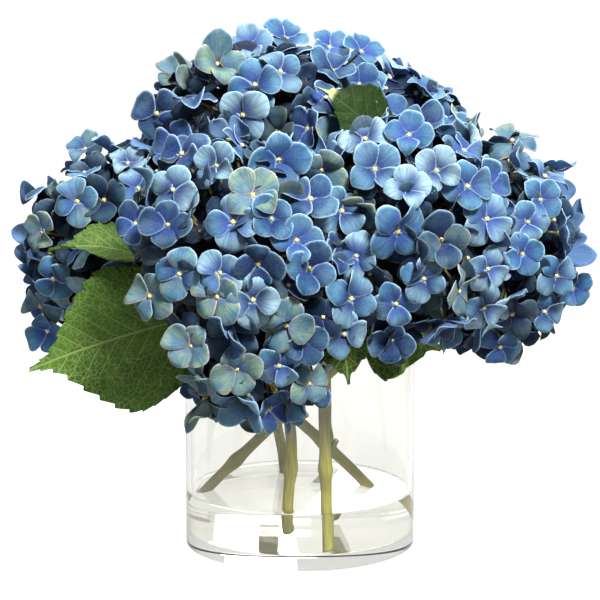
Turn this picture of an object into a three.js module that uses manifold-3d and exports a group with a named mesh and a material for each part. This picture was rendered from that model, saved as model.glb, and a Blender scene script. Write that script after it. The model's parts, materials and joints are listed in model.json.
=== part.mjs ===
// Hydrangeas in a glass cylinder vase: six mophead blooms on cut stems, with their leaves.
// Millimetres, +Z up. The vase stands on z = 0 with its axis on Z, and the bouquet's front faces -Y.
// Every bloom is one solid: a small core that broad four-petalled florets stand out of.
import * as THREE from "three";
import { mergeVertices } from "three/addons/utils/BufferGeometryUtils.js";
import Module from "manifold-3d";

const wasm = await Module();
wasm.setup();
const { Manifold, Mesh: SolidMesh } = wasm;

// ---- Driving dimensions ----
const clearance = 0.3; // between two pieces that touch
const vase = { radius: 63.5, height: 127, wall: 3, base: 8, foot: 1.5, sides: 48 };
const water = { level: 30 };
const stem = { radius: 3.1, knot: 4.1, sides: 6, stations: 9 };
const floret = { radius: 19.5, eye: 5, thickness: 0.8, stalk: 32, spacing: 30.5, height: 3 };
const core = 0.79; // a bloom's core, as a share of its radii
const leaf = { thickness: 0.9, petiole: 1.5, tooth: 12, room: 0.8 }; // room: how far blooms keep off it

const finish = {
  glass: { color: 0xf4f8f8, roughness: 0.03, metalness: 0, transparent: true, opacity: 0.3 },
  water: { color: 0xf1f2ec, roughness: 0.02, metalness: 0, transparent: true, opacity: 0.4 },
  stem: { color: 0xa9a25c, roughness: 0.6, metalness: 0 },
  leaf: { color: 0x3f6a26, roughness: 0.55, metalness: 0 },
  petal: { color: 0x5f86cc, roughness: 0.7, metalness: 0 },
};

// ---- Helpers ----
const vec = (p) => new THREE.Vector3(...p);
const mix = THREE.MathUtils.lerp;

// A repeatable stream of numbers from 0 to 1.
function draws(seed) {
  let state = seed >>> 0;
  return () => {
    state = (state + 0x6d2b79f5) >>> 0;
    let t = Math.imul(state ^ (state >>> 15), 1 | state);
    t = (t + Math.imul(t ^ (t >>> 7), 61 | t)) ^ t;
    return ((t ^ (t >>> 14)) >>> 0) / 4294967296;
  };
}

function solidOf(points, triangles) {
  const vertProperties = new Float32Array(points.length * 3);
  points.forEach((p, i) => p.toArray(vertProperties, i * 3));
  const triVerts = new Uint32Array(triangles.flat());
  return new Manifold(new SolidMesh({ numProp: 3, vertProperties, triVerts }));
}

function solidOfGeometry(geometry) {
  geometry.deleteAttribute("normal");
  geometry.deleteAttribute("uv");
  const merged = mergeVertices(geometry, 1e-3);
  return new Manifold(
    new SolidMesh({
      numProp: 3,
      vertProperties: merged.attributes.position.array,
      triVerts: new Uint32Array(merged.index.array),
    }),
  );
}

const largest = (solid) =>
  solid.decompose().sort((a, b) => b.volume() - a.volume())[0];

function meshOf(name, solid, look) {
  const { numProp, numVert, vertProperties, triVerts } = solid.getMesh();
  const position = new Float32Array(numVert * 3);
  for (let i = 0; i < numVert; i++) {
    position.set(vertProperties.subarray(i * numProp, i * numProp + 3), i * 3);
  }
  const geometry = new THREE.BufferGeometry();
  geometry.setAttribute("position", new THREE.BufferAttribute(position, 3));
  geometry.setIndex(new THREE.BufferAttribute(triVerts, 1));
  geometry.computeVertexNormals();
  const mesh = new THREE.Mesh(geometry, new THREE.MeshStandardMaterial(finish[look]));
  mesh.name = name;
  return mesh;
}

// A solid turned round Z from [radius, z] points that start and end on the axis.
function turned(profile, sides) {
  const points = profile.map(([r, z]) => new THREE.Vector2(r, z));
  return solidOfGeometry(new THREE.LatheGeometry(points, sides).rotateX(Math.PI / 2));
}

// A closed tube along a curve, whose radius is a function of the share of its length. It runs past
// both ends of the curve by extra.
function tube(points, radiusAt, sides, stations, extra = 0) {
  const curve = new THREE.CatmullRomCurve3(points.map(vec), false, "centripetal");
  const frames = curve.computeFrenetFrames(stations, false);
  const ring = [];
  const triangles = [];
  for (let i = 0; i <= stations; i++) {
    const past = i === 0 ? -extra : i === stations ? extra : 0;
    const at = curve.getPointAt(i / stations).addScaledVector(frames.tangents[i], past);
    const radius = radiusAt(i / stations);
    for (let k = 0; k < sides; k++) {
      const turn = (k / sides) * 2 * Math.PI;
      const out = at
        .clone()
        .addScaledVector(frames.normals[i], radius * Math.cos(turn))
        .addScaledVector(frames.binormals[i], radius * Math.sin(turn));
      ring.push(out);
      if (i < stations) {
        const a = i * sides + k;
        const b = i * sides + ((k + 1) % sides);
        triangles.push([a, b, b + sides], [a, b + sides, a + sides]);
      }
    }
  }
  const last = stations * sides;
  for (let k = 1; k < sides - 1; k++) {
    triangles.push([0, k + 1, k], [last, last + k, last + k + 1]);
  }
  return solidOf(ring, triangles);
}

// A plate whose two faces are split alike. The outline runs counterclockwise, seen from the top.
function plate(top, bottom, faces, underFaces, outline) {
  const n = top.length;
  const triangles = faces.map(([a, b, c]) => [a, b, c]);
  underFaces.forEach(([a, b, c]) => triangles.push([a + n, c + n, b + n]));
  outline.forEach((a, i) => {
    const b = outline[(i + 1) % outline.length];
    triangles.push([a, a + n, b + n], [a, b + n, b]);
  });
  return [[...top, ...bottom], triangles];
}

// ---- Vase and water ----
function vaseSolid() {
  const { radius, height, wall, base, foot, sides } = vase;
  const inner = radius - wall;
  return turned(
    [
      [0, 0],
      [radius - foot, 0],
      [radius, foot],
      [radius, height],
      [inner, height],
      [inner, base],
      [0, base],
    ],
    sides,
  );
}

function waterSolid(holes) {
  const radius = vase.radius - vase.wall - clearance;
  const bottom = vase.base + clearance;
  const body = turned(
    [
      [0, bottom],
      [radius, bottom],
      [radius, water.level],
      [0, water.level],
    ],
    vase.sides,
  );
  return largest(Manifold.difference([body, ...holes]));
}

// What keeps blooms and leaves clear of the vase.
function vaseRoom() {
  const radius = vase.radius + 1;
  const top = vase.height + 1;
  return turned([[0, -1], [radius, -1], [radius, top], [0, top]], vase.sides);
}

// ---- Stems ----
// path runs from the cut foot into the bloom. knots are the places, as shares of the length, where
// leaves once grew, and stubs are what is left of two of them.
const stems = [
  {
    name: "right",
    path: [[-56, -4, 25], [-52, -5, 30], [-19, -6, 63], [18, -7, 98], [45, -8, 125], [80, -8, 152]],
    knots: [0.16],
  },
  {
    name: "left",
    path: [
      [54, 3, 12.5], [38, 6, 30], [15, 9, 52], [-6, 11, 71], [-43, 12, 116], [-55, 12, 132], [-80, 13, 150],
    ],
    knots: [0.3],
    stubs: [{ at: 0.27, towards: [0.5, -0.4, 1] }, { at: 0.4, towards: [1, -0.5, 0.6] }],
  },
  {
    name: "top",
    path: [[-9, 55, 10], [-10, 52, 34], [-14, 46, 60], [-18, 38, 105], [-18, 29, 160], [-16, 22, 202]],
    knots: [0.6],
  },
  {
    name: "back",
    path: [[14.5, -55, 9], [14, -49, 30], [12.5, -36, 93], [13, -20, 125], [20, 28, 155], [27, 62, 176]],
    knots: [0.2, 0.7],
  },
  {
    name: "front",
    path: [
      [-5.5, -40, 17.5], [-6.5, -46, 30], [-4.5, -48, 65], [-8, -48, 92],
      [-17, -47, 117], [-21, -51, 134], [-30, -76, 150],
    ],
    knots: [0.241],
  },
  {
    name: "middle",
    path: [[10, 34, 9], [15, 32, 30], [15, 26, 65], [15, 16, 95], [20, 0, 124], [37, -42, 154]],
    knots: [0.25],
  },
];

function stemSolid({ path, knots, stubs = [] }, grow = 0) {
  const knotWidth = 0.05;
  const stub = { radius: 1.6, length: 4 };
  const radiusAt = (t) => {
    const near = Math.max(...knots.map((k) => 1 - Math.abs(t - k) / knotWidth), 0);
    return mix(stem.radius, stem.knot, near) + grow;
  };
  const pieces = [tube(path, radiusAt, stem.sides, stem.stations, grow)];
  const curve = new THREE.CatmullRomCurve3(path.map(vec), false, "centripetal");
  stubs.forEach(({ at, towards }) => {
    const from = curve.getPointAt(at);
    const to = from.clone().addScaledVector(vec(towards).normalize(), stem.radius + stub.length);
    pieces.push(tube([from.toArray(), to.toArray()], () => stub.radius + grow, 5, 1, grow));
  });
  return Manifold.union(pieces);
}

// ---- Leaves ----
// base and tip are the ends of the blade, face is the way its upper side looks, arch is how far the
// midrib rises between them, fold is how steeply the halves rise from it, and petiole is the route of
// its stalk to a stem.
const leaves = [
  {
    name: "lower_left",
    base: [-46, -63, 139],
    tip: [-141, -58, 108],
    face: [-0.15, -0.93, 0.33],
    width: 80,
    arch: 9,
    fold: -0.12,
    petiole: [[-38, -57, 139], [-30, -52, 133], [-17.5, -47.3, 119]],
  },
  {
    name: "upper_left",
    base: [-71, -37, 158],
    tip: [-131, -52, 170],
    face: [0.1, -0.35, 0.93],
    width: 41,
    arch: 7,
    fold: 0.25,
    petiole: [[-65, -16, 150], [-56, 12, 133]],
  },
  {
    name: "top",
    base: [47, -26, 218],
    tip: [8, -36, 254],
    face: [0.3, -0.75, 0.6],
    width: 42,
    arch: 6,
    fold: 0.2,
    petiole: [[40, -14, 198], [24, 0, 160], [19, 3, 121]],
  },
  {
    name: "lower_right",
    base: [34, -64, 134],
    tip: [73, -70, 121],
    face: [0.2, -0.95, 0.2],
    width: 52,
    arch: 6,
    fold: -0.1,
    petiole: [[27, -48, 136], [26, -15, 134]],
  },
  {
    name: "lower_front",
    base: [20, -70, 137],
    tip: [25, -78, 104],
    face: [0.05, -0.97, 0.2],
    width: 28,
    arch: 5,
    fold: -0.1,
    petiole: [[18, -52, 139], [13.5, -22, 123]],
  },
  {
    name: "back_left",
    base: [-34, 70, 138],
    tip: [-92, 104, 112],
    face: [-0.2, 0.85, 0.4],
    width: 62,
    arch: 8,
    fold: -0.12,
    petiole: [[-27, 50, 138], [-18.2, 34, 128]],
  },
  {
    name: "back_right",
    base: [44, 72, 134],
    tip: [104, 98, 106],
    face: [0.2, 0.85, 0.4],
    width: 64,
    arch: 8,
    fold: -0.12,
    petiole: [[34, 52, 138], [17, 4, 141]],
  },
];

function leafSolid({ base, tip, face, width, arch, fold, petiole }, grow = 0) {
  const from = vec(base);
  const along = vec(tip).sub(from);
  const length = along.length();
  const forward = along.clone().normalize();
  const up = vec(face).addScaledVector(forward, -vec(face).dot(forward)).normalize();
  const side = new THREE.Vector3().crossVectors(forward, up);
  const rows = Math.max(8, 2 * Math.round(length / leaf.tooth));
  const toothDepth = 0.08;
  const toothLean = 0.03;
  // A point of the blade: s runs from base to tip, across from -1 to 1, and rise is above the middle layer.
  const at = (s, across, toothed, rise) => {
    const pointed = 1 - 0.75 * THREE.MathUtils.smoothstep(s, 0.45, 0.95);
    const outline = (4 * s * (1 - s)) ** 0.55 * pointed;
    const reach = outline * (width / 2) * (toothed ? 1 : 1 - toothDepth) + grow;
    const x = across * reach;
    const ahead = s + Math.abs(across) * (toothed ? toothLean : 0);
    return from
      .clone()
      .addScaledVector(along, ahead)
      .addScaledVector(side, x)
      .addScaledVector(up, arch * 4 * s * (1 - s) + fold * Math.abs(x) + rise);
  };
  const layer = (rise) => {
    const points = [at(0, 0, false, rise).addScaledVector(forward, -grow)];
    for (let i = 1; i < rows; i++) {
      const s = i / rows;
      const toothed = i % 2 === 0;
      points.push(at(s, -1, toothed, rise), at(s, 0, false, rise), at(s, 1, toothed, rise));
    }
    points.push(at(1, 0, false, rise).addScaledVector(forward, grow));
    return points;
  };
  const half = leaf.thickness / 2 + grow;
  const last = 1 + (rows - 1) * 3;
  const faces = [[0, 2, 1], [0, 3, 2]];
  for (let i = 0; i < rows - 2; i++) {
    const [l, m, r] = [1 + i * 3, 2 + i * 3, 3 + i * 3];
    faces.push([l, m, l + 3], [m, m + 3, l + 3], [m, r, m + 3], [r, r + 3, m + 3]);
  }
  faces.push([last - 3, last - 2, last], [last - 2, last - 1, last]);
  const rights = Array.from({ length: rows - 1 }, (_, i) => 3 + i * 3);
  const lefts = rights.map((i) => i - 2).reverse();
  const blade = solidOf(...plate(layer(half), layer(-half), faces, faces, [0, ...rights, last, ...lefts]));
  const sunk = from.clone().addScaledVector(along, 0.12).addScaledVector(up, arch * 0.42);
  const route = [sunk.toArray(), base, ...petiole];
  const stalk = tube(route, (t) => mix(leaf.petiole * 0.75, leaf.petiole, t) + grow, 5, 5, grow);
  return Manifold.union([blade, stalk]);
}

// ---- Blooms ----
// Each bloom is an ellipsoid of florets round its centre. away is the way its stem leaves it.
const blooms = [
  { name: "front", centre: [-31, -88, 160], radii: [64, 52, 73], away: [0.1, 0.8, -0.6], seed: 11 },
  { name: "middle", centre: [50, -62, 177], radii: [56, 50, 62], away: [-0.2, 0.6, -0.8], seed: 23 },
  { name: "right", centre: [100, -4, 168], radii: [56, 60, 66], away: [-0.7, 0, -0.7], seed: 35 },
  { name: "top", centre: [-18, 20, 224], radii: [73, 66, 57], away: [0, 0, -1], seed: 47 },
  { name: "back", centre: [42, 68, 200], radii: [68, 62, 68], away: [-0.2, -0.7, -0.7], seed: 59 },
  { name: "left", centre: [-97, 14, 163], radii: [58, 62, 64], away: [0.7, 0, -0.7], seed: 71 },
];

// How far an ellipsoid reaches from its centre in a direction.
const reachOf = (radii, d) => Math.hypot(radii[0] * d.x, radii[1] * d.y, radii[2] * d.z);

// The planes that part a bloom from its neighbours. A point p is on the bloom's side where
// normal . p is above offset.
function seamsOf(bloom) {
  return blooms
    .filter((other) => other !== bloom)
    .map((other) => {
      const from = vec(bloom.centre);
      const apart = vec(other.centre).sub(from);
      const distance = apart.length();
      const d = apart.normalize();
      const own = (distance + reachOf(bloom.radii, d) - reachOf(other.radii, d)) / 2;
      const normal = d.clone().negate();
      return { normal, offset: from.addScaledVector(d, own - clearance).dot(normal) };
    });
}

// How far a disc reaches from its middle along a direction.
const discReach = (radius, normal, d) => radius * Math.sqrt(Math.max(0, 1 - normal.dot(d) ** 2));

// Where a bloom's florets sit: spots spread evenly over the part of its surface that is clear of the
// stem, the vase, the leaves and the other blooms.
function floretSpots(bloom, leafPoints) {
  const seams = seamsOf(bloom);
  const [rx, ry, rz] = bloom.radii;
  const away = vec(bloom.away).normalize();
  const tries = 900;
  const stemSide = 0.86; // the cosine inside which a spot faces the stem
  const offSeam = 0.25; // the share of a floret that stays on its own side, and the rest is trimmed
  const offLeaf = 0.72;
  const offVase = 2;
  const golden = Math.PI * (3 - Math.sqrt(5));
  const spots = [];
  for (let i = 0; i < tries; i++) {
    const z = 1 - (2 * (i + 0.5)) / tries;
    const r = Math.sqrt(1 - z * z);
    const d = new THREE.Vector3(r * Math.cos(golden * i), r * Math.sin(golden * i), z);
    const at = vec(bloom.centre).add(new THREE.Vector3(rx * d.x, ry * d.y, rz * d.z));
    const normal = new THREE.Vector3(d.x / rx, d.y / ry, d.z / rz).normalize();
    const nearStem = normal.dot(away) > stemSide;
    const overSeam = seams.some(
      (s) => s.normal.dot(at) - discReach(floret.radius * offSeam, normal, s.normal) < s.offset,
    );
    const low = at.z - discReach(floret.radius, normal, new THREE.Vector3(0, 0, 1));
    const flat = new THREE.Vector3(at.x, at.y, 0).normalize();
    const near = Math.hypot(at.x, at.y) - discReach(floret.radius, normal, flat);
    const inVase = low < vase.height + offVase && near < vase.radius + offVase;
    const onLeaf = leafPoints.some((p) => p.distanceTo(at) < floret.radius * offLeaf);
    if (!(nearStem || overSeam || inVase || onLeaf)) spots.push({ at, normal });
  }
  const kept = [];
  const gapTo = spots.map(() => Infinity);
  let next = 0;
  while (gapTo[next] > floret.spacing) {
    const chosen = spots[next];
    kept.push(chosen);
    spots.forEach((spot, i) => {
      gapTo[i] = Math.min(gapTo[i], spot.at.distanceTo(chosen.at));
    });
    next = gapTo.indexOf(Math.max(...gapTo));
  }
  return kept;
}

// One floret: four petals on a square eye, over a stalk that ends in a point deep in the core. Each
// petal is cupped and its tip is bent by shares of its length.
function floretSolid({ at, normal }, draw) {
  const tilt = 0.35;
  const lean = new THREE.Vector3(draw() - 0.5, draw() - 0.5, draw() - 0.5).multiplyScalar(tilt);
  const up = normal.clone().add(lean).normalize();
  const across = new THREE.Vector3(0, 0, 1).cross(up);
  const x = (across.length() > 0.1 ? across : new THREE.Vector3(1, 0, 0)).normalize();
  x.applyAxisAngle(up, draw() * Math.PI);
  const y = new THREE.Vector3().crossVectors(up, x);
  const radius = floret.radius * mix(0.9, 1.05, draw());
  const lift = mix(-floret.height, floret.height, draw());
  const middle = at.clone().addScaledVector(up, lift);
  const place = (r, turn, h) =>
    middle
      .clone()
      .addScaledVector(x, r * Math.cos(turn))
      .addScaledVector(y, r * Math.sin(turn))
      .addScaledVector(up, h);
  const shoulder = { reach: 0.84, turn: 0.6 };
  const cups = [0, 1, 2, 3].map(() => mix(-0.12, 0.26, draw()));
  const tips = cups.map((c) => c + mix(-0.08, 0.06, draw()));
  const layer = (rise) => {
    const points = [];
    for (let k = 0; k < 4; k++) {
      const turn = (k * Math.PI) / 2;
      points.push(place(floret.eye, turn - Math.PI / 4, rise));
      points.push(place(radius * shoulder.reach, turn - shoulder.turn, cups[k] * radius + rise));
      points.push(place(radius, turn, tips[k] * radius + rise));
      points.push(place(radius * shoulder.reach, turn + shoulder.turn, cups[k] * radius + rise));
    }
    return points;
  };
  const petals = [];
  for (let k = 0; k < 4; k++) {
    const [notch, left, tip, right, next] = [4 * k, 4 * k + 1, 4 * k + 2, 4 * k + 3, (4 * k + 4) % 16];
    petals.push([notch, left, next], [left, right, next], [left, tip, right]);
  }
  const outline = Array.from({ length: 16 }, (_, i) => i);
  const [points, triangles] = plate(
    layer(0),
    layer(-floret.thickness),
    [...petals, [0, 4, 8], [0, 8, 12]],
    petals,
    outline,
  );
  const root = points.push(at.clone().addScaledVector(normal, -floret.stalk)) - 1;
  for (let k = 0; k < 4; k++) {
    triangles.push([16 + 4 * k, root, 16 + ((4 * k + 4) % 16)]);
  }
  return solidOf(points, triangles);
}

function bloomSolid(bloom, leafPoints, cutters) {
  const draw = draws(bloom.seed);
  const ball = new THREE.IcosahedronGeometry(1, 1);
  ball.scale(...bloom.radii.map((r) => r * core)).translate(...bloom.centre);
  const florets = floretSpots(bloom, leafPoints).map((spot) => floretSolid(spot, draw));
  let made = Manifold.union([solidOfGeometry(ball), ...florets]);
  seamsOf(bloom).forEach(({ normal, offset }) => {
    made = made.trimByPlane(normal.toArray(), offset);
  });
  return largest(Manifold.difference([made, ...cutters]));
}

// ---- The bouquet ----
const bouquet = new THREE.Group();
bouquet.add(meshOf("vase", vaseSolid(), "glass"));
const grownStems = stems.map((s) => stemSolid(s, clearance));
bouquet.add(meshOf("water", waterSolid(grownStems), "water"));
stems.forEach((s) => bouquet.add(meshOf(`stem_${s.name}`, stemSolid(s), "stem")));

const room = vaseRoom();
const leafSolids = leaves.map((l) => leafSolid(l));
leaves.forEach((l, i) => {
  const cut = Manifold.difference([leafSolids[i], ...grownStems]);
  bouquet.add(meshOf(`leaf_${l.name}`, largest(cut), "leaf"));
});
const grownLeaves = leaves.map((l) => leafSolid(l, leaf.room));
const leafPoints = leaves.flatMap(({ base, tip }) =>
  [0.1, 0.3, 0.5, 0.7, 0.9].map((s) => vec(base).lerp(vec(tip), s)),
);
blooms.forEach((b) => {
  const solid = bloomSolid(b, leafPoints, [room, ...grownStems, ...grownLeaves]);
  bouquet.add(meshOf(`bloom_${b.name}`, solid, "petal"));
});

export default bouquet;
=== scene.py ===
import json
import math
import random

import bpy
import numpy as np
from mathutils import Matrix, Vector, noise

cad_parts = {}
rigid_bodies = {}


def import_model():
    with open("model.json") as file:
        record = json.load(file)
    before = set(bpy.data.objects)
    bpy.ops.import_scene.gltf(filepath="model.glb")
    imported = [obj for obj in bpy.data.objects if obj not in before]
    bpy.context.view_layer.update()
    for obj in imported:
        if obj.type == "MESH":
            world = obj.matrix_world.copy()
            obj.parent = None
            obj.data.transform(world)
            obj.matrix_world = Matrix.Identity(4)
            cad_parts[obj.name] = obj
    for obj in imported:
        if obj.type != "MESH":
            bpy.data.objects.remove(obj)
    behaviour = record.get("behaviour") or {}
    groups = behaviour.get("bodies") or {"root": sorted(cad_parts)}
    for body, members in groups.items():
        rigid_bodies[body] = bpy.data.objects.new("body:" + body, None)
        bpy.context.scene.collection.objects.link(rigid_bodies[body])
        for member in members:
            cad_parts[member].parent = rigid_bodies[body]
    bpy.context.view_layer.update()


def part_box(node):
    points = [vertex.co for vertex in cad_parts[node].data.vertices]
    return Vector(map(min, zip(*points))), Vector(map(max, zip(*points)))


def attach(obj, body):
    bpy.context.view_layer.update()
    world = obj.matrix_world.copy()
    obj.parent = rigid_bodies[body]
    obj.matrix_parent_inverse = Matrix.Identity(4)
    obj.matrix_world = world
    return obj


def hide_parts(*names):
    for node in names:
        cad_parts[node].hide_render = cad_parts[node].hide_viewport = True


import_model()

# Hydrangeas in a glass cylinder vase. Metres, +Z up, the bouquet's front faces -Y.

mm = 0.001
root = "root"


def colour(code):
    # "#rrggbb" as a linear colour
    channels = [int(code[i:i + 2], 16) / 255 for i in (1, 3, 5)]
    return [c / 12.92 if c <= 0.04045 else ((c + 0.055) / 1.055) ** 2.4 for c in channels] + [1.0]


def mix(a, b, t):
    return a + (b - a) * t


def smooth(x, low, high):
    t = min(max((x - low) / (high - low), 0.0), 1.0)
    return t * t * (3 - 2 * t)


def scaled(points):
    return [Vector(p) * mm for p in points]


def addNode(tree, kind, inputs=None, **settings):
    # a node with its settings, and its inputs given as values or as sockets to link
    made = tree.nodes.new(kind)
    for name, value in settings.items():
        setattr(made, name, value)
    for name, value in (inputs or {}).items():
        if isinstance(value, bpy.types.NodeSocket):
            tree.links.new(value, made.inputs[name])
        else:
            made.inputs[name].default_value = value
    return made


def maths(tree, operation, a, b=0.0, c=0.0):
    return addNode(tree, "ShaderNodeMath", {0: a, 1: b, 2: c}, operation=operation).outputs[0]


def blend(tree, factor, a, b):
    # from colour a to colour b, each a "#rrggbb" code or a socket
    a, b = (colour(each) if isinstance(each, str) else each for each in (a, b))
    return addNode(tree, "ShaderNodeMix", {0: factor, 6: a, 7: b}, data_type="RGBA").outputs[2]


def stepped(tree, value, low, high, outLow=0.0, outHigh=1.0):
    # a smooth step from outLow to outHigh
    made = addNode(
        tree, "ShaderNodeMapRange",
        {"Value": value, "From Min": low, "From Max": high, "To Min": outLow, "To Max": outHigh},
        interpolation_type="SMOOTHSTEP",
    )
    return made.outputs["Result"]


def split(tree, vector):
    return addNode(tree, "ShaderNodeSeparateXYZ", {0: vector}).outputs[:3]


def joined(tree, x, y, z=0.0):
    return addNode(tree, "ShaderNodeCombineXYZ", {0: x, 1: y, 2: z}).outputs[0]


def texturePlace(tree, output="Object"):
    return addNode(tree, "ShaderNodeTexCoord").outputs[output]


def cloudy(tree, where, scale, detail, output="Fac"):
    made = addNode(tree, "ShaderNodeTexNoise", {"Vector": where, "Scale": scale, "Detail": detail})
    return made.outputs[output]


def carried(tree, name, output="Fac"):
    # a value that the mesh carries at its points
    return addNode(tree, "ShaderNodeAttribute", attribute_name=name).outputs[output]


def newMaterial(name):
    material = bpy.data.materials.new(name)
    material.use_nodes = True
    material.node_tree.nodes.clear()
    return material, material.node_tree


def finishMaterial(tree, **inputs):
    shader = addNode(tree, "ShaderNodeBsdfPrincipled", inputs)
    output = addNode(tree, "ShaderNodeOutputMaterial")
    tree.links.new(shader.outputs[0], output.inputs["Surface"])


def relief(tree, height, strength, distance, invert=False):
    # the normal of a surface that a texture raises, or sinks with invert
    inputs = {"Height": height, "Strength": strength, "Distance": distance}
    return addNode(tree, "ShaderNodeBump", inputs, invert=invert).outputs[0]


def linkObject(name, mesh):
    made = bpy.data.objects.new(name, mesh)
    bpy.context.scene.collection.objects.link(made)
    return made


def newObject(name, points, faces, material=None, smoothShade=True):
    mesh = bpy.data.meshes.new(name)
    mesh.from_pydata([tuple(p) for p in points], [], faces)
    mesh.validate()
    if smoothShade:
        mesh.polygons.foreach_set("use_smooth", [True] * len(mesh.polygons))
    if material:
        mesh.materials.append(material)
    return linkObject(name, mesh)


def pointValues(mesh, name, kind, values):
    # one value for each point of a mesh
    field = mesh.attributes.new(name, kind, "POINT")
    key = "vector" if kind == "FLOAT_VECTOR" else "value"
    plain = {"INT": int, "BOOLEAN": bool}.get(kind, float)
    field.data.foreach_set(key, np.asarray(values, dtype=plain).ravel())


def hand(piece, slotName, *nodes):
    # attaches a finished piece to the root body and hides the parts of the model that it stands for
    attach(piece, root)
    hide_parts(*nodes)


def smoothRoute(points, count):
    # centripetal Catmull-Rom curve through the points, at even steps of its length. Also its length
    finePoints = 24  # between two of the points
    ends = [points[0] * 2 - points[1], *points, points[-1] * 2 - points[-2]]
    fine = []
    for i in range(1, len(ends) - 2):
        p0, p1, p2, p3 = ends[i - 1:i + 3]
        t0 = 0.0
        t1 = t0 + math.sqrt((p1 - p0).length)
        t2 = t1 + math.sqrt((p2 - p1).length)
        t3 = t2 + math.sqrt((p3 - p2).length)
        for k in range(finePoints):
            t = mix(t1, t2, k / finePoints)
            a1 = p0 * ((t1 - t) / (t1 - t0)) + p1 * ((t - t0) / (t1 - t0))
            a2 = p1 * ((t2 - t) / (t2 - t1)) + p2 * ((t - t1) / (t2 - t1))
            a3 = p2 * ((t3 - t) / (t3 - t2)) + p3 * ((t - t2) / (t3 - t2))
            b1 = a1 * ((t2 - t) / (t2 - t0)) + a2 * ((t - t0) / (t2 - t0))
            b2 = a2 * ((t3 - t) / (t3 - t1)) + a3 * ((t - t1) / (t3 - t1))
            fine.append(b1 * ((t2 - t) / (t2 - t1)) + b2 * ((t - t1) / (t2 - t1)))
    fine.append(points[-1].copy())
    lengths = [0.0]
    for a, b in zip(fine, fine[1:]):
        lengths.append(lengths[-1] + (b - a).length)
    route = []
    at = 0
    for i in range(count):
        goal = lengths[-1] * i / (count - 1)
        while at < len(fine) - 2 and lengths[at + 1] < goal:
            at += 1
        span = max(lengths[at + 1] - lengths[at], 1e-9)
        route.append(fine[at].lerp(fine[at + 1], (goal - lengths[at]) / span))
    return route, lengths[-1]


def tube(route, radiusAt, sides, footCut=0.0):
    # a closed tube. radiusAt(share, turn) is its radius, and footCut slants its first end. Each place is
    # (turn, share of the length, 1 in the middle of an end)
    points, faces, places = [], [], []
    normal = None
    last = len(route) - 1
    for i, at in enumerate(route):
        along = (route[min(i + 1, last)] - route[max(i - 1, 0)]).normalized()
        if normal is None:
            normal = along.orthogonal().normalized()
        normal = (normal - along * normal.dot(along)).normalized()
        other = along.cross(normal)
        for k in range(sides):
            turn = 2 * math.pi * k / sides
            radius = radiusAt(i / last, turn)
            slant = footCut * radius * (1 + math.cos(turn)) * (1 - smooth(i / last, 0.0, 0.04))
            onRing = at + normal * radius * math.cos(turn) + other * radius * math.sin(turn)
            points.append(onRing + along * slant)
            places.append((turn, i / last, 0.0))
            if i < last:
                a, b = i * sides + k, i * sides + (k + 1) % sides
                faces.append((a, b, b + sides, a + sides))
    for ring, flip in ((0, True), (last, False)):
        centre = sum((points[ring * sides + k] for k in range(sides)), Vector()) / sides
        points.append(centre)
        places.append((0.0, ring / last, 1.0))
        for k in range(sides):
            a, b = ring * sides + k, ring * sides + (k + 1) % sides
            faces.append((b, a, len(points) - 1) if flip else (a, b, len(points) - 1))
    return points, faces, places


def addPart(points, faces, morePoints, moreFaces):
    # adds one closed shape to the lists of another
    faces += [tuple(i + len(points) for i in face) for face in moreFaces]
    points += morePoints


def wallFaces(rows, wide, first=0):
    # the faces between the rims of two equal grids of points, the second of them right after the first
    last = wide - 1
    rim = list(range(wide)) + [i * wide + last for i in range(1, rows + 1)]
    rim += [rows * wide + k for k in range(last - 1, -1, -1)] + [i * wide for i in range(rows - 1, 0, -1)]
    under = (rows + 1) * wide
    pairs = zip(rim, rim[1:] + rim[:1])
    return [(first + a, first + b, first + b + under, first + a + under) for a, b in pairs]


studio = {
    "cameraPlace": (0.0, -1.057, 0.303),
    "cameraDown": 9.0,  # degrees below the horizon
    "lens": 117.0,
    "sensor": 36.0,
    "pixels": 600,  # side of the square picture
    "sightRange": (0.05, 20.0),
    "floor": 6.0,
    "floorDrop": 0.0002,
    "floorTone": (0.18, 0.21),
    "floorGlow": 0.05,  # how much the floor lights the flowers
    "sky": 0.046,  # how much the room lights them
    "sideTone": 0.2,  # the dark flags at both sides, which draw the edges of the glass
    "flagsFrom": (0.15, 0.8),  # metres off the middle of the floor where they start and are full
    "skyFlagsFrom": (0.7, 0.98),  # and the same on the sky, as the sideways part of its direction
    "through": 0.7,  # the floor's own glow where it is seen through the glass
    "lamps": [
        {"name": "key", "place": (0.45, -1.05, 1.2), "width": 0.34, "power": 40.0},
        {"name": "fill", "place": (-1.1, -0.9, 0.6), "width": 0.9, "power": 2.0},
        {"name": "top", "place": (0.0, 0.15, 1.35), "width": 0.6, "power": 13.0},
        {"name": "back", "place": (0.3, 1.2, 0.7), "width": 0.9, "power": 9.0},
    ],
    "lookAt": (0.0, 0.0, 0.17),
}


def glowFor(tree, place, inner, reach, diffuse):
    # white for the camera, diffuse where it lights the flowers, and for all other rays inner in the
    # middle and the tone of the flags at both sides
    ray = addNode(tree, "ShaderNodeLightPath").outputs
    aside = maths(tree, "ABSOLUTE", split(tree, texturePlace(tree, place))[0])
    flags = stepped(tree, aside, *reach, inner, studio["sideTone"])
    lit = stepped(tree, ray["Is Diffuse Ray"], 0.0, 1.0, flags, diffuse)
    return stepped(tree, ray["Is Camera Ray"], 0.0, 1.0, lit, 1.0)


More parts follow.
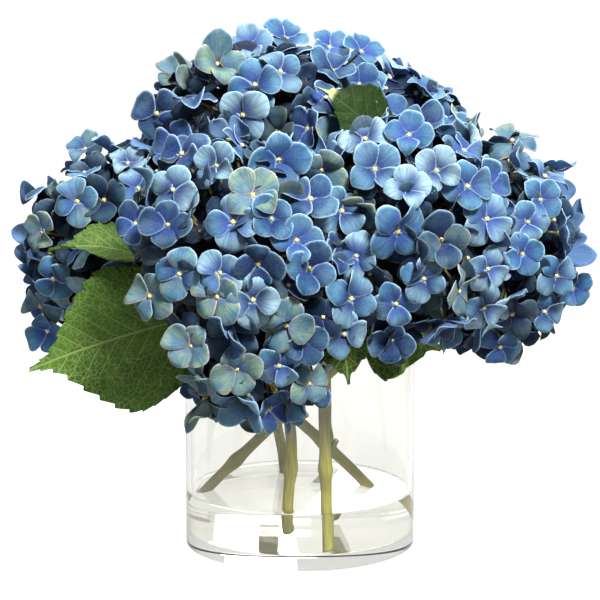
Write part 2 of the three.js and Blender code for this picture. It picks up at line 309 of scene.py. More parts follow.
def makeCamera(scene):
    lens = bpy.data.cameras.new("camera")
    lens.lens = studio["lens"]
    lens.sensor_width = studio["sensor"]
    lens.clip_start, lens.clip_end = studio["sightRange"]
    camera = bpy.data.objects.new("camera", lens)
    camera.location = studio["cameraPlace"]
    camera.rotation_euler = (math.radians(90 - studio["cameraDown"]), 0.0, 0.0)
    scene.collection.objects.link(camera)
    scene.camera = camera
    scene.view_settings.view_transform = "Standard"
    scene.view_settings.look = "None"


def makeLamps(scene):
    for lamp in studio["lamps"]:
        light = bpy.data.lights.new(lamp["name"], "AREA")
        light.shape = "DISK"
        light.size = lamp["width"]
        light.energy = lamp["power"]
        made = bpy.data.objects.new(lamp["name"], light)
        made.location = lamp["place"]
        aim = Vector(studio["lookAt"]) - made.location
        made.rotation_euler = aim.to_track_quat("-Z", "Y").to_euler()
        scene.collection.objects.link(made)


def makeSky(scene):
    world = bpy.data.worlds.new("studioSky")
    scene.world = world
    world.use_nodes = True
    tree = world.node_tree
    tree.nodes.clear()
    strength = glowFor(tree, "Generated", 1.0, studio["skyFlagsFrom"], studio["sky"])
    sky = addNode(tree, "ShaderNodeBackground", {"Color": (1, 1, 1, 1), "Strength": strength})
    tree.links.new(sky.outputs[0], addNode(tree, "ShaderNodeOutputWorld").inputs["Surface"])


def makeFloor():
    material, tree = newMaterial("floorPaint")
    speck = addNode(tree, "ShaderNodeTexNoise", {"Scale": 30.0})
    tone = stepped(tree, speck.outputs["Fac"], 0.0, 1.0, *studio["floorTone"])
    paint = addNode(tree, "ShaderNodeCombineColor", {"Red": tone, "Green": tone, "Blue": tone})
    glow = glowFor(tree, "Object", studio["through"], studio["flagsFrom"], studio["floorGlow"])
    finishMaterial(tree, **{
        "Base Color": paint.outputs[0], "Roughness": 0.9,
        "Emission Color": (1, 1, 1, 1), "Emission Strength": glow,
    })
    half = studio["floor"] / 2
    drop = -studio["floorDrop"]
    corners = [(-half, -half, drop), (half, -half, drop), (half, half, drop), (-half, half, drop)]
    newObject("floor", corners, [(0, 1, 2, 3)], material, False)


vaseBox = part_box("vase")
vase = {
    "radius": vaseBox[1].x,
    "height": vaseBox[1].z,
    "wall": 3.0 * mm,
    "base": 8.0 * mm,
    "foot": 1.2 * mm,  # rounding under the edge
    "corner": 2.0 * mm,  # rounding inside, at the base
    "hold": 0.3 * mm,  # loops this near a rounding keep the flat stretches flat
    "sides": 192,
    "waterLevel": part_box("water")[1].z,
    "meniscus": 1.0 * mm,  # how far the water climbs the wall
    "meniscusReach": 1.1 * mm,  # and how far from the wall that fades
    "overlap": 0.05 * mm,  # the water sits this far into the glass, so no air shows between
    "glass": {"tint": "#fbfbf7", "edge": "#c4c4b8", "ior": 1.48, "shadow": 0.06},
    "water": {"tint": "#fdfdfb", "edge": "#f4f4ee", "ior": 1.36, "shadow": 0.05},
    "grazing": (0.68, 0.98),  # from where to where the edge's tint takes over
    "paintedGlowDepths": (8, 12),  # ray depths, in bounces, over which the glass comes to glow; that painted glow's strength follows
    "paintedGlowStrength": 0.22,
}


def arc(centre, radius, start, end, steps):
    # [r, z] points along a round stretch, degrees anticlockwise from outwards
    turns = [math.radians(mix(start, end, i / steps)) for i in range(steps + 1)]
    return [(centre[0] + radius * math.cos(t), centre[1] + radius * math.sin(t)) for t in turns]


def lathe(name, profile, sides, material):
    # a solid turned round Z. The profile starts and ends on the axis, anticlockwise
    points, faces = [Vector((0, 0, profile[0][1]))], []
    rings = profile[1:-1]
    for r, z in rings:
        for k in range(sides):
            turn = 2 * math.pi * k / sides
            points.append(Vector((r * math.cos(turn), r * math.sin(turn), z)))
    points.append(Vector((0, 0, profile[-1][1])))
    top = len(points) - 1
    for k in range(sides):
        n = (k + 1) % sides
        faces.append((0, 1 + n, 1 + k))
        for i in range(len(rings) - 1):
            a = 1 + i * sides
            faces.append((a + k, a + n, a + n + sides, a + k + sides))
        a = 1 + (len(rings) - 1) * sides
        faces.append((a + k, a + n, top))
    return newObject(name, points, faces, material)


def clearMaterial(name, look):
    # clear glass or water, which lets most light through to what stands behind it
    material, tree = newMaterial(name)
    ray = addNode(tree, "ShaderNodeLightPath").outputs
    alpha = stepped(tree, ray["Is Shadow Ray"], 0.0, 1.0, 1.0, look["shadow"])
    # painted glow: where a ray has bounced many times between the walls, the glass glows as bright as the
    # room, in place of the light that such long paths bring
    paintedGlowLevel = stepped(tree, ray["Ray Depth"], *vase["paintedGlowDepths"], 0.0, vase["paintedGlowStrength"])
    facing = addNode(tree, "ShaderNodeLayerWeight", {"Blend": 0.5}).outputs["Facing"]
    body = blend(tree, stepped(tree, facing, *vase["grazing"]), look["tint"], look["edge"])
    finishMaterial(tree, **{
        "Base Color": body, "Roughness": 0.0, "IOR": look["ior"],
        "Transmission Weight": 1.0, "Alpha": alpha,
        "Emission Color": (1, 1, 1, 1), "Emission Strength": paintedGlowLevel,
    })
    return material


def makeVase():
    r, h, wall, base = vase["radius"], vase["height"], vase["wall"], vase["base"]
    foot, corner, hold = vase["foot"], vase["corner"], vase["hold"]
    inner, lip = r - wall, wall / 2
    profile = [(0, 0), (r * 0.5, 0), (r - foot - hold, 0)]
    profile += arc((r - foot, foot), foot, 270, 360, 8)
    profile += [(r, foot + hold), (r, h - lip - hold)]
    profile += arc((r - lip, h - lip), lip, 0, 180, 12)
    profile += [(inner, h - lip - hold), (inner, base + corner + hold)]
    profile += arc((inner - corner, base + corner), corner, 0, -90, 8)
    profile += [(inner - corner - hold, base), (inner * 0.5, base), (0, base)]
    glass = clearMaterial("clearGlass", vase["glass"])
    hand(lathe("vaseGlass", profile, vase["sides"], glass), "glass", "vase")
    print("vase ready")


def makeWater():
    r = vase["radius"] - vase["wall"] + vase["overlap"]
    low = vase["base"] - vase["overlap"]
    corner, hold = vase["corner"], vase["hold"]
    level, rise, reach = vase["waterLevel"], vase["meniscus"], vase["meniscusReach"]
    profile = [(0, low), (r * 0.5, low), (r - corner - hold, low)]
    profile += arc((r - corner, low + corner), corner, -90, 0, 8)
    profile += [(r, low + corner + hold), (r, level + rise - hold)]
    for i in range(9):  # the surface climbs the wall
        back = i * reach / 2
        profile.append((r - back, level + rise * math.exp(-back / reach)))
    profile += [(r * 0.8, level), (r * 0.4, level), (0, level)]
    water = clearMaterial("clearWater", vase["water"])
    hand(lathe("vaseWater", profile, vase["sides"], water), "water", "water")
    print("water ready")


stem = {
    "radius": 3.0 * mm,
    "knot": 4.0 * mm,
    "knotLength": 5.0 * mm,
    "sides": 18,
    "stations": 130,
    "cut": 0.35,  # slant of the cut foot
    "scar": 0.7 * mm,
    "stub": 1.6 * mm,
    "stubLength": 4.0 * mm,
    "fibre": ("#58551a", "#7c772e"),
    "blotch": "#5a5416",
    "speck": "#574718",
    "cutFace": "#d9d3a4",
    "glow": 0.16,  # painted fill light: the stem glows in its own colour, which lifts the shaded sides that the room lights little
}
# each path in millimetres from the foot up, the knots as shares of its length, and the stubs of side
# shoots, each with its share and direction
stems = {
    "right": {
        "path": [(-56, -4, 25), (-52, -5, 30), (-19, -6, 63), (18, -7, 98), (45, -8, 125), (80, -8, 152)],
        "knots": [0.16],
    },
    "left": {
        "path": [
            (54, 3, 12.5), (38, 6, 30), (15, 9, 52), (-6, 11, 71), (-43, 12, 116), (-55, 12, 132),
            (-80, 13, 150),
        ],
        "knots": [0.3],
        "stubs": [(0.27, (0.5, -0.4, 1)), (0.4, (1, -0.5, 0.6))],
    },
    "top": {
        "path": [(-9, 55, 10), (-10, 52, 34), (-14, 46, 60), (-18, 38, 105), (-18, 29, 160), (-16, 22, 202)],
        "knots": [0.6],
    },
    "back": {
        "path": [
            (14.5, -55, 9), (14, -49, 30), (12.5, -36, 93), (13, -20, 125), (20, 28, 155), (27, 62, 176),
        ],
        "knots": [0.2, 0.7],
    },
    "front": {
        "path": [
            (-5.5, -40, 17.5), (-6.5, -46, 30), (-4.5, -48, 65), (-8, -48, 92), (-17, -47, 117),
            (-21, -51, 134), (-30, -76, 150),
        ],
        "knots": [0.241],
    },
    "middle": {
        "path": [(10, 34, 9), (15, 32, 30), (15, 26, 65), (15, 16, 95), (20, 0, 124), (37, -42, 154)],
        "knots": [0.25],
    },
}


def stemMaterial():
    material, tree = newMaterial("greenStem")
    turn, along, cut = split(tree, carried(tree, "stemPlace", "Vector"))
    acrossGrain = [maths(tree, "MULTIPLY", maths(tree, way, turn), 5.0) for way in ("COSINE", "SINE")]
    fibre = cloudy(tree, joined(tree, *acrossGrain, maths(tree, "MULTIPLY", along, 9.0)), 1.6, 5.0)
    where = texturePlace(tree)
    blotch = cloudy(tree, where, 70.0, 4.0)
    speck = cloudy(tree, where, 900.0, 2.0)
    base = blend(tree, stepped(tree, fibre, 0.35, 0.65), *stem["fibre"])
    base = blend(tree, stepped(tree, blotch, 0.5, 0.72), base, stem["blotch"])
    base = blend(tree, stepped(tree, speck, 0.63, 0.72, 0.0, 0.6), base, stem["speck"])
    base = blend(tree, cut, base, stem["cutFace"])
    # painted fill light: a faint glow in the stem's own colour
    finishMaterial(tree, **{
        "Base Color": base, "Roughness": stepped(tree, blotch, 0.3, 0.7, 0.45, 0.62),
        "Normal": relief(tree, fibre, 0.35, 0.6 * mm), "Specular IOR Level": 0.08,
        "Emission Color": base, "Emission Strength": stem["glow"],
    })
    return material


def stubRadius(share, turn):
    # a stub is wider where it starts
    return stem["stub"] * (1.35 - 0.35 * smooth(share, 0.3, 0.8))


def makeStem(name, plan, material):
    route, length = smoothRoute(scaled(plan["path"]), stem["stations"])
    seed = Vector((0, 0, sum(map(ord, name)) * 0.37))

    def nearKnot(share, reach):
        return max(math.exp(-((share - knot) * length / reach) ** 2) for knot in plan["knots"])

    def radiusAt(share, turn):
        wander = noise.noise(Vector((math.cos(turn), math.sin(turn), share * 14)) + seed)
        ridges = 0.02 * math.cos(4 * turn + share * 2)
        lumps = 1 + ridges + 0.05 * wander + 0.045 * nearKnot(share, stem["scar"])
        return mix(stem["radius"], stem["knot"], nearKnot(share, stem["knotLength"])) * lumps

    points, faces, places = tube(route, radiusAt, stem["sides"], stem["cut"])
    for share, towards in plan.get("stubs", []):
        start = route[round(share * (len(route) - 1))]
        end = start + Vector(towards).normalized() * (stem["radius"] + stem["stubLength"])
        more, moreFaces, morePlaces = tube([start.lerp(end, i / 8) for i in range(9)], stubRadius, 12)
        addPart(points, faces, more, moreFaces)
        places += morePlaces
    piece = newObject("stem" + name.capitalize(), points, faces, material)
    pointValues(piece.data, "stemPlace", "FLOAT_VECTOR", places)
    hand(piece, "stem", "stem_" + name)


leaf = {
    "thickness": 0.7 * mm,
    "petiole": 1.5 * mm,
    "tooth": 6.5 * mm,  # from tip to tip along the edge
    "toothRows": 6,
    "toothDepth": 1.1 * mm,
    "across": 14,  # cells on each side of the midrib
    "veinGap": 9.5 * mm,
    "quilt": 0.7 * mm,  # how far the blade swells between its veins
    "ripple": 1.6 * mm,
    "groove": (0.5 * mm, 0.9 * mm),  # depth and width of the groove over the midrib
    "blade": ("#33541c", "#4d742e"),
    # painted light: the lighter green along the midrib, where the blade is lit
    "middle": "#567a26",
    "veins": ("#8fa658", "#9cb065"),  # the net, and the midrib and side veins
    "under": ("#6f9150", "#a3b87a"),  # the same for the underside: blade and veins
    # painted shade: the colour that shaded leaves are darkened towards
    "shade": "#0a2008",
    "pale": "#c3cf8a",
}
# base and tip are the ends of the blade, face is the way its upper side looks, arch how far the midrib
# rises between them and fold how steeply the halves rise from it, all in millimetres. petiole is the
# route of the stalk from the blade to a stem. No floret stands in front of a leaf from
# the share of its length that open gives, where 2 leaves all of it to them. dark is how much painted
# shade darkens it, and paleTip how pale its tip is
leaves = {
    "lower_left": {
        "base": (-46, -63, 139), "tip": (-141, -58, 108), "face": (-0.15, -0.93, 0.33),
        "width": 80, "arch": 9, "fold": -0.12,
        "petiole": [(-38, -57, 139), (-30, -52, 133), (-17.5, -47.3, 119)],
        "open": 0.18,
    },
    "upper_left": {
        "base": (-71, -37, 158), "tip": (-131, -52, 170), "face": (0.1, -0.35, 0.93),
        "width": 41, "arch": 7, "fold": 0.25,
        "petiole": [(-65, -16, 150), (-56, 12, 133)],
        "open": 0.3, "dark": 0.4,
    },
    "top": {
        "base": (47, -26, 218), "tip": (8, -36, 254), "face": (0.3, -0.75, 0.6),
        "width": 42, "arch": 6, "fold": 0.2,
        "petiole": [(40, -14, 198), (24, 0, 160), (19, 3, 121)],
        "open": 0.5, "dark": 0.86, "paleTip": 1.0,
    },
    "lower_right": {
        "base": (34, -64, 134), "tip": (73, -70, 121), "face": (0.2, -0.95, 0.2),
        "width": 52, "arch": 6, "fold": -0.1,
        "petiole": [(27, -48, 136), (26, -15, 134)],
        "open": 0.9,
    },
    "lower_front": {
        "base": (20, -70, 137), "tip": (25, -78, 104), "face": (0.05, -0.97, 0.2),
        "width": 28, "arch": 5, "fold": -0.1,
        "petiole": [(18, -52, 139), (13.5, -22, 123)],
        "open": 0.5,
    },
    "back_left": {
        "base": (-34, 70, 138), "tip": (-92, 104, 112), "face": (-0.2, 0.85, 0.4),
        "width": 62, "arch": 8, "fold": -0.12,
        "petiole": [(-27, 50, 138), (-18.2, 34, 128)],
        "open": 2,
    },
    "back_right": {
        "base": (44, 72, 134), "tip": (104, 98, 106), "face": (0.2, 0.85, 0.4),
        "width": 64, "arch": 8, "fold": -0.12,
        "petiole": [(34, 52, 138), (17, 4, 141)],
        "open": 2,
    },
}


def leafFrame(plan):
    start = Vector(plan["base"]) * mm
    along = Vector(plan["tip"]) * mm - start
    forward = along.normalized()
    up = Vector(plan["face"])
    up = (up - forward * up.dot(forward)).normalized()
    return start, along, up, forward.cross(up)


def leafOutline(s):
    # half the width along the leaf, as a share of its widest: an oval that is drawn out to a tip
    oval = (4 * s * (1 - s)) ** 0.55
    return oval * (1 - 0.75 * smooth(s, 0.45, 0.95)) * (1 - 0.35 * smooth(s, 0.72, 0.92))


def leafPoint(plan, s, across, rise=0.0, tooth=1.0):
    # a point of the blade: s runs from base to tip, across from -1 to 1, tooth from 0 in a notch to 1
    start, along, up, side = leafFrame(plan)
    half = plan["width"] / 2 * mm
    edge = abs(across) ** 6
    reach = max(leafOutline(min(max(s, 0.0), 1.0)) * half - leaf["toothDepth"] * (1 - tooth) * edge, 0.0)
    x = across * reach
    ahead = s + edge * tooth * 0.018
    vein = veinPhase(plan, s, x)
    swell = leaf["quilt"] * (abs(math.sin(math.pi * vein)) - 0.5) * smooth(abs(x), 0.0, 4 * mm)
    ripple = leaf["ripple"] * math.sin(9 * s + 2 * (across > 0)) * across * across * smooth(s, 0, 0.2)
    height = plan["arch"] * mm * 4 * s * (1 - s) + plan["fold"] * abs(x) + swell + ripple
    depth, width = leaf["groove"]
    groove = depth * math.exp(-(x / width) ** 2)
    return start + along * ahead + side * x + up * (height - groove + rise)


def veinPhase(plan, s, x):
    # whole numbers fall on the side veins, which curve forwards from the midrib
    length = (Vector(plan["tip"]) - Vector(plan["base"])).length * mm
    half = plan["width"] / 2 * mm
    bend = 0.3 * (abs(x) / half) ** 0.8 + 0.12 * (abs(x) / half) ** 2
    return (s - bend) * length / leaf["veinGap"]


def petioleRadius(share, turn):
    return leaf["petiole"] * mix(0.7, 1.0, share)


def makeLeaf(name, plan, material):
    # two layers of points, each a grid, with a wall round the edge
    length = (Vector(plan["tip"]) - Vector(plan["base"])).length * mm
    rows = max(6, round(length / leaf["tooth"])) * leaf["toothRows"]
    cells = leaf["across"]
    points, places, faces = [], [], []
    for layer in (1, -1):
        for i in range(rows + 1):
            s = mix(0.004, 0.998, i / rows)  # stops short of both ends, where the rows would be points
            tooth = (i % leaf["toothRows"]) / (leaf["toothRows"] - 1)
            for k in range(-cells, cells + 1):
                across = k / cells
                points.append(leafPoint(plan, s, across, layer * leaf["thickness"] / 2, tooth))
                x = across * leafOutline(s) * plan["width"] / 2 * mm
                places.append((x / mm, veinPhase(plan, s, x), s * length / mm))
    wide = 2 * cells + 1
    under = (rows + 1) * wide
    for i in range(rows):
        for k in range(wide - 1):
            a = i * wide + k
            quad = (a, a + wide, a + wide + 1, a + 1)
            faces.append(quad)
            faces.append(tuple(q + under for q in reversed(quad)))
    faces += wallFaces(rows, wide)
    sunk = leafPoint(plan, 0.12, 0.0)  # where the petiole ends inside the blade
    route, _ = smoothRoute([sunk, Vector(plan["base"]) * mm] + scaled(plan["petiole"]), 40)
    stalk, stalkFaces, _ = tube(route, petioleRadius, 10)
    addPart(points, faces, stalk, stalkFaces)
    pale = [plan.get("paleTip", 0.0) * smooth(i // wide / rows, 0.8, 0.84) for i in range(under)]
    piece = newObject("leaf" + name.title().replace("_", ""), points, faces, material)
    pointValues(piece.data, "leafPlace", "FLOAT_VECTOR", places + [(0.0, 0.5, -5.0)] * len(stalk))
    pointValues(piece.data, "underside", "FLOAT", [0.0] * under + [1.0] * under + [0.5] * len(stalk))
    pointValues(piece.data, "shadow", "FLOAT", [plan.get("dark", 0.0)] * len(points))
    pointValues(piece.data, "paleTip", "FLOAT", pale * 2 + [0.0] * len(stalk))
    hand(piece, "leaf", "leaf_" + name)


def cellEdges(tree, where, scale):
    inputs = {"Vector": where, "Scale": scale}
    return addNode(tree, "ShaderNodeTexVoronoi", inputs, feature="DISTANCE_TO_EDGE").outputs["Distance"]


def leafMaterial():
    material, tree = newMaterial("leafGreen")
    x, vein, along = split(tree, carried(tree, "leafPlace", "Vector"))
    offMid = maths(tree, "ABSOLUTE", x)
    midrib = stepped(tree, offMid, 0.3, 0.8, 1.0, 0.0)
    toVein = maths(tree, "ABSOLUTE", maths(tree, "SUBTRACT", maths(tree, "FRACT", vein), 0.5))
    taper = stepped(tree, offMid, 0.0, 34.0, 0.465, 0.49)
    sideVein = stepped(tree, maths(tree, "SUBTRACT", toVein, taper), -0.012, 0.012)
    mainVeins = maths(tree, "MAXIMUM", midrib, sideVein)
    flat = joined(tree, x, along)
    wander = cloudy(tree, flat, 0.35, 2.0, "Color")
    netAt = addNode(tree, "ShaderNodeVectorMath", {0: flat, 1: wander}, operation="ADD").outputs[0]
    net = stepped(tree, cellEdges(tree, netAt, 0.33), 0.0, 0.09, 0.85, 0.0)
    fineNet = stepped(tree, cellEdges(tree, netAt, 0.8), 0.0, 0.1, 0.4, 0.0)
    lines = maths(tree, "MAXIMUM", maths(tree, "MAXIMUM", net, fineNet), mainVeins)
    blotch = cloudy(tree, texturePlace(tree), 38.0, 4.0)
    blade = blend(tree, stepped(tree, blotch, 0.35, 0.65), *leaf["blade"])
    # painted light: the blade lighter near the midrib, where it is lit
    blade = blend(tree, stepped(tree, offMid, 0.0, 30.0, 0.2, 0.0), blade, leaf["middle"])
    veinTone = blend(tree, mainVeins, *leaf["veins"])
    top = blend(tree, maths(tree, "MULTIPLY", lines, 0.85), blade, veinTone)
    back = blend(tree, maths(tree, "MULTIPLY", lines, 0.6), *leaf["under"])
    base = blend(tree, carried(tree, "underside"), top, back)
    # painted shade: leaves that lie in shade are darkened by their dark share
    base = blend(tree, carried(tree, "shadow"), base, leaf["shade"])
    base = blend(tree, carried(tree, "paleTip"), base, leaf["pale"])
    finishMaterial(tree, **{
        "Base Color": base, "Roughness": stepped(tree, blotch, 0.3, 0.7, 0.42, 0.55),
        "Normal": relief(tree, lines, 0.5, 0.4 * mm, True), "Specular IOR Level": 0.12,
    })
    return material


floret = {
    "reach": 13.3 * mm,  # from the eye to a petal's tip
    "width": 13.6 * mm,
    "thickness": 0.35 * mm,
    "eye": 1.3 * mm,
    "eyeRings": [(0.8, 0.1), (1.0, 0.7), (0.7, 1.3)],  # radius and height, in radii of the eye
    "eyeSides": 8,
    "stagger": 0.45 * mm,  # every other petal lies this much higher
    "spin": 0.13,  # how far a petal turns off its quarter, radians
    # how petals differ: their size and width, and how they bend, as shares of the reach
    "petals": {
        "size": (0.88, 1.08), "wide": (0.9, 1.12), "cup": (-0.2, 0.2), "curl": (-0.3, 0.2),
        "tip": (-0.5, 0.12), "wave": (0, 6.3), "fold": (-0.1, 0.22), "roll": (-0.3, 0.3),
    },
    "seed": 5,
    "blues": ("#153c62", "#3e7799", "#a2c4cf"),
    "patch": "#7197a0",
    "hearts": ("#1a3266", "#345096"),
    # the pale rim of the blue petals: partly their own colour, partly painted highlight
    "rim": "#a6d2ea",
    # painted highlight: the thin bright line along the edges of the petals
    "edge": "#c8e0ec",
    "sages": ("#547a86", "#7c987f"),
    "sageHeart": "#55679a",
    "sageRim": "#bfa883",
    "veins": "#27377c",
    "grain": "#dfe9f5",
    "under": ("#6487b4", "#8a9f95"),  # blue and sage
    "underVeins": "#3f5688",
    # painted shade: the near-black blue that florets are darkened towards, deep in a head and where they lie
    # in shade
    "deep": "#0b1526",
    "bud": ("#8f9a4c", "#e6dc9c"),
    # cells across a petal, and how far open each floret of the shelf is: 0 is flat, 1 a deep cup
    "shelves": [
        {"name": "full", "grid": 6, "eye": True, "cups": (0.08, 0.18, 0.28, 0.36, 0.46, 0.58, 0.72, 0.95)},
        {"name": "half", "grid": 4, "eye": True, "cups": (0.15, 0.35, 0.55, 0.8)},
        {"name": "inner", "grid": 3, "eye": False, "cups": (0.1, 0.4)},
    ],
}


def petalPoint(a, b, look):
    # a, b: place in a round blade, -1 to 1. The result lies along +X from the eye, facing +Z
    reach, width = floret["reach"] * look["size"], floret["width"] * look["size"] * look["wide"]
    along = 0.535 + 0.465 * b
    along += 0.035 * (1 - min(abs(a) * 2.2, 1.0)) * smooth(b, 0.55, 1.0)  # the faint point at the tip
    across = a * mix(0.68, 1.0, smooth(b, -1.15, 0.1)) / 2
    rim = smooth(math.hypot(a, b), 0.55, 1.0)
    x = along * reach
    y = across * width
    lift = look["cup"] * reach * math.sin(along * 1.35)
    lift += look["curl"] * reach * (2 * across) ** 2
    lift += look["tip"] * reach * smooth(along, 0.5, 1.05) ** 2
    lift += look["fold"] * reach * abs(2 * across)
    lift += 0.035 * reach * rim * math.sin(look["wave"] + 3.1 * math.atan2(a, b))
    lift += 0.02 * reach * rim * math.sin(look["wave"] * 2 + 5.3 * math.atan2(a, b))
    return x, y, lift - 0.4 * look["cup"] * reach


def floretEye(sunk):
    # a bud of rings, which ends in a point at the top and at the bottom
    size, sides = floret["eye"], floret["eyeSides"]
    points, places, faces = [], [], []
    for share, height in floret["eyeRings"]:
        for k in range(sides):
            turn = 2 * math.pi * k / sides
            r = size * share * (1 + 0.12 * math.cos(4 * turn))
            points.append(Vector((r * math.cos(turn), r * math.sin(turn), size * height - sunk)))
            places.append((0, height, 2))
    points += [Vector((0, 0, size * 1.55 - sunk)), Vector((0, 0, -sunk))]
    places += [(0, 1.5, 2), (0, 0, 2)]
    top, bottom = len(points) - 2, len(points) - 1
    for k in range(sides):
        n = (k + 1) % sides
        faces += [(n, k, bottom), (2 * sides + k, 2 * sides + n, top)]
        faces += [(p + k, p + n, p + n + sides, p + k + sides) for p in (0, sides)]
    return points, places, faces


def floretMesh(name, grid, cup, withEye, draw):
    # four petals round an eye. Each place is (a, b, part): the part is 0 for the upper side of a petal, 1
    # for its underside and 2 for the eye
    points, faces, places, shades = [], [], [], []
    for petal in range(4):
        look = {trait: draw.uniform(*limits) for trait, limits in floret["petals"].items()}
        look["cup"] += cup
        turn = math.pi / 2 * petal + draw.uniform(-floret["spin"], floret["spin"])
        layer = floret["stagger"] if petal % 2 else 0.0
        first = len(points)
        for side, drop in ((0, 0.0), (1, floret["thickness"])):
            for i in range(grid + 1):
                for k in range(grid + 1):
                    u, v = 2 * i / grid - 1, 2 * k / grid - 1
                    a, b = u * math.sqrt(1 - v * v / 2), v * math.sqrt(1 - u * u / 2)
                    x, y, z = petalPoint(a, b, look)
                    z += y * look["roll"] * smooth(b, -1.0, 0.2)
                    spot = Matrix.Rotation(turn, 3, "Z") @ Vector((x, y, z + layer - drop))
                    points.append(spot)
                    places.append((a, b, side))
        shades += [draw.random()] * (len(points) - len(shades))
        wide = grid + 1
        under = wide * wide
        for i in range(grid):
            for k in range(grid):
                p = first + i * wide + k
                quad = (p, p + 1, p + wide + 1, p + wide)
                faces.append(tuple(reversed(quad)))
                faces.append(tuple(q + under for q in quad))
        faces += wallFaces(grid, wide, first)
    if withEye:
        eye, eyePlaces, eyeFaces = floretEye(0.4 * cup * floret["reach"])
        addPart(points, faces, eye, eyeFaces)
        places += eyePlaces
    made = newObject(name, points, faces)
    shades += [0.5] * (len(points) - len(shades))
    pointValues(made.data, "petalPlace", "FLOAT_VECTOR", places)
    pointValues(made.data, "shade", "FLOAT", shades)
    bpy.context.scene.collection.objects.unlink(made)
    return made


def makeFlorets():
    # a shelf of florets, which the blooms pick from by number
    draw = random.Random(floret["seed"])
    shelf = bpy.data.collections.new("floretShelf")
    bpy.context.scene.collection.children.link(shelf)
    for board in floret["shelves"]:
        board["first"] = len(shelf.objects)
        for cup in board["cups"]:
            name = f"floret{len(shelf.objects):02d}"  # the shelf is read in the order of these names
            shelf.objects.link(floretMesh(name, board["grid"], cup, board["eye"], draw))
    print("florets ready")
    return shelf


def petalMaterial():
    material, tree = newMaterial("petalBlue")
    a, b, part = split(tree, carried(tree, "petalPlace", "Vector"))
    odd = maths(tree, "SUBTRACT", carried(tree, "shade"), 0.5)
    tint, sage = carried(tree, "tint"), carried(tree, "sage")
    which = stepped(tree, maths(tree, "FRACT", maths(tree, "MULTIPLY", tint, 7.0)), 0.3, 0.7)
    tint = maths(tree, "MULTIPLY_ADD", odd, 0.22, tint)
    sage = maths(tree, "MULTIPLY_ADD", odd, 0.55, sage)
    along = maths(tree, "MULTIPLY_ADD", b, 0.5, 0.5)
    out = maths(tree, "SQRT", maths(tree, "MULTIPLY_ADD", a, a, maths(tree, "MULTIPLY", b, b)))
    # the outer part of a petal, where blue petals get a paler rim that is partly their own colour and partly
    # painted highlight
    rim = stepped(tree, out, 0.8, 1.0)
    # a thin band at the very edge, where painted highlight goes
    edge = stepped(tree, out, 0.93, 0.985)

    fan = maths(tree, "ARCTAN2", a, maths(tree, "ADD", b, 1.5))
    stretched = [maths(tree, "MULTIPLY", *pair) for pair in ((fan, 11.0), (b, 0.55), (tint, 41.0))]
    veins = cloudy(tree, joined(tree, *stretched), 1.3, 3.0)
    where = texturePlace(tree)
    patch = cloudy(tree, where, 120.0, 3.0)
    grain = cloudy(tree, where, 1500.0, 2.0)
    patchy = stepped(tree, patch, 0.35, 0.66)

    dark, full, pale = floret["blues"]
    blue = blend(tree, stepped(tree, tint, 0.0, 0.55), dark, full)
    blue = blend(tree, stepped(tree, tint, 0.45, 1.0), blue, pale)
    blue = blend(tree, maths(tree, "MULTIPLY", patchy, 0.35), blue, floret["patch"])
    heart = blend(tree, which, *floret["hearts"])
    blue = blend(tree, stepped(tree, along, 0.12, 0.8, 0.96, 0.0), blue, heart)
    # the paler rim of blue petals, partly their own colour and partly painted highlight
    blue = blend(tree, maths(tree, "MULTIPLY", rim, 0.6), blue, floret["rim"])
    green = blend(tree, patchy, *floret["sages"])
    green = blend(tree, stepped(tree, along, 0.05, 0.45, 0.5, 0.0), green, floret["sageHeart"])
    green = blend(tree, maths(tree, "MULTIPLY", rim, patchy), green, floret["sageRim"])
    sageMask = stepped(tree, maths(tree, "MULTIPLY_ADD", patch, 0.3, sage), 0.3, 0.95)

    top = blend(tree, sageMask, blue, green)
    top = blend(tree, stepped(tree, veins, 0.36, 0.6, 0.35, 0.0), top, floret["veins"])
    top = blend(tree, stepped(tree, grain, 0.45, 0.65, 0.0, 0.05), top, floret["grain"])
    # painted highlight: a thin bright line along the edge
    top = blend(tree, maths(tree, "MULTIPLY", edge, 0.5), top, floret["edge"])
    back = blend(tree, sageMask, *floret["under"])
    back = blend(tree, stepped(tree, veins, 0.4, 0.6, 0.25, 0.0), back, floret["underVeins"])
    base = blend(tree, stepped(tree, part, 0.4, 1.0), top, back)
    # painted shade: florets of the inner shells, and a few outer ones, darkened towards near-black blue
    base = blend(tree, maths(tree, "MULTIPLY", carried(tree, "deep"), 0.93), base, floret["deep"])
    bud = blend(tree, stepped(tree, b, 0.1, 1.1), *floret["bud"])
    base = blend(tree, stepped(tree, part, 1.4, 1.6), base, bud)
    finishMaterial(tree, **{
        "Base Color": base, "Roughness": stepped(tree, patch, 0.3, 0.7, 0.5, 0.62),
        "Normal": relief(tree, veins, 0.35, 0.5 * mm), "Specular IOR Level": 0.12,
        "Sheen Weight": 0.06, "Sheen Roughness": 0.4,
    })
    return material


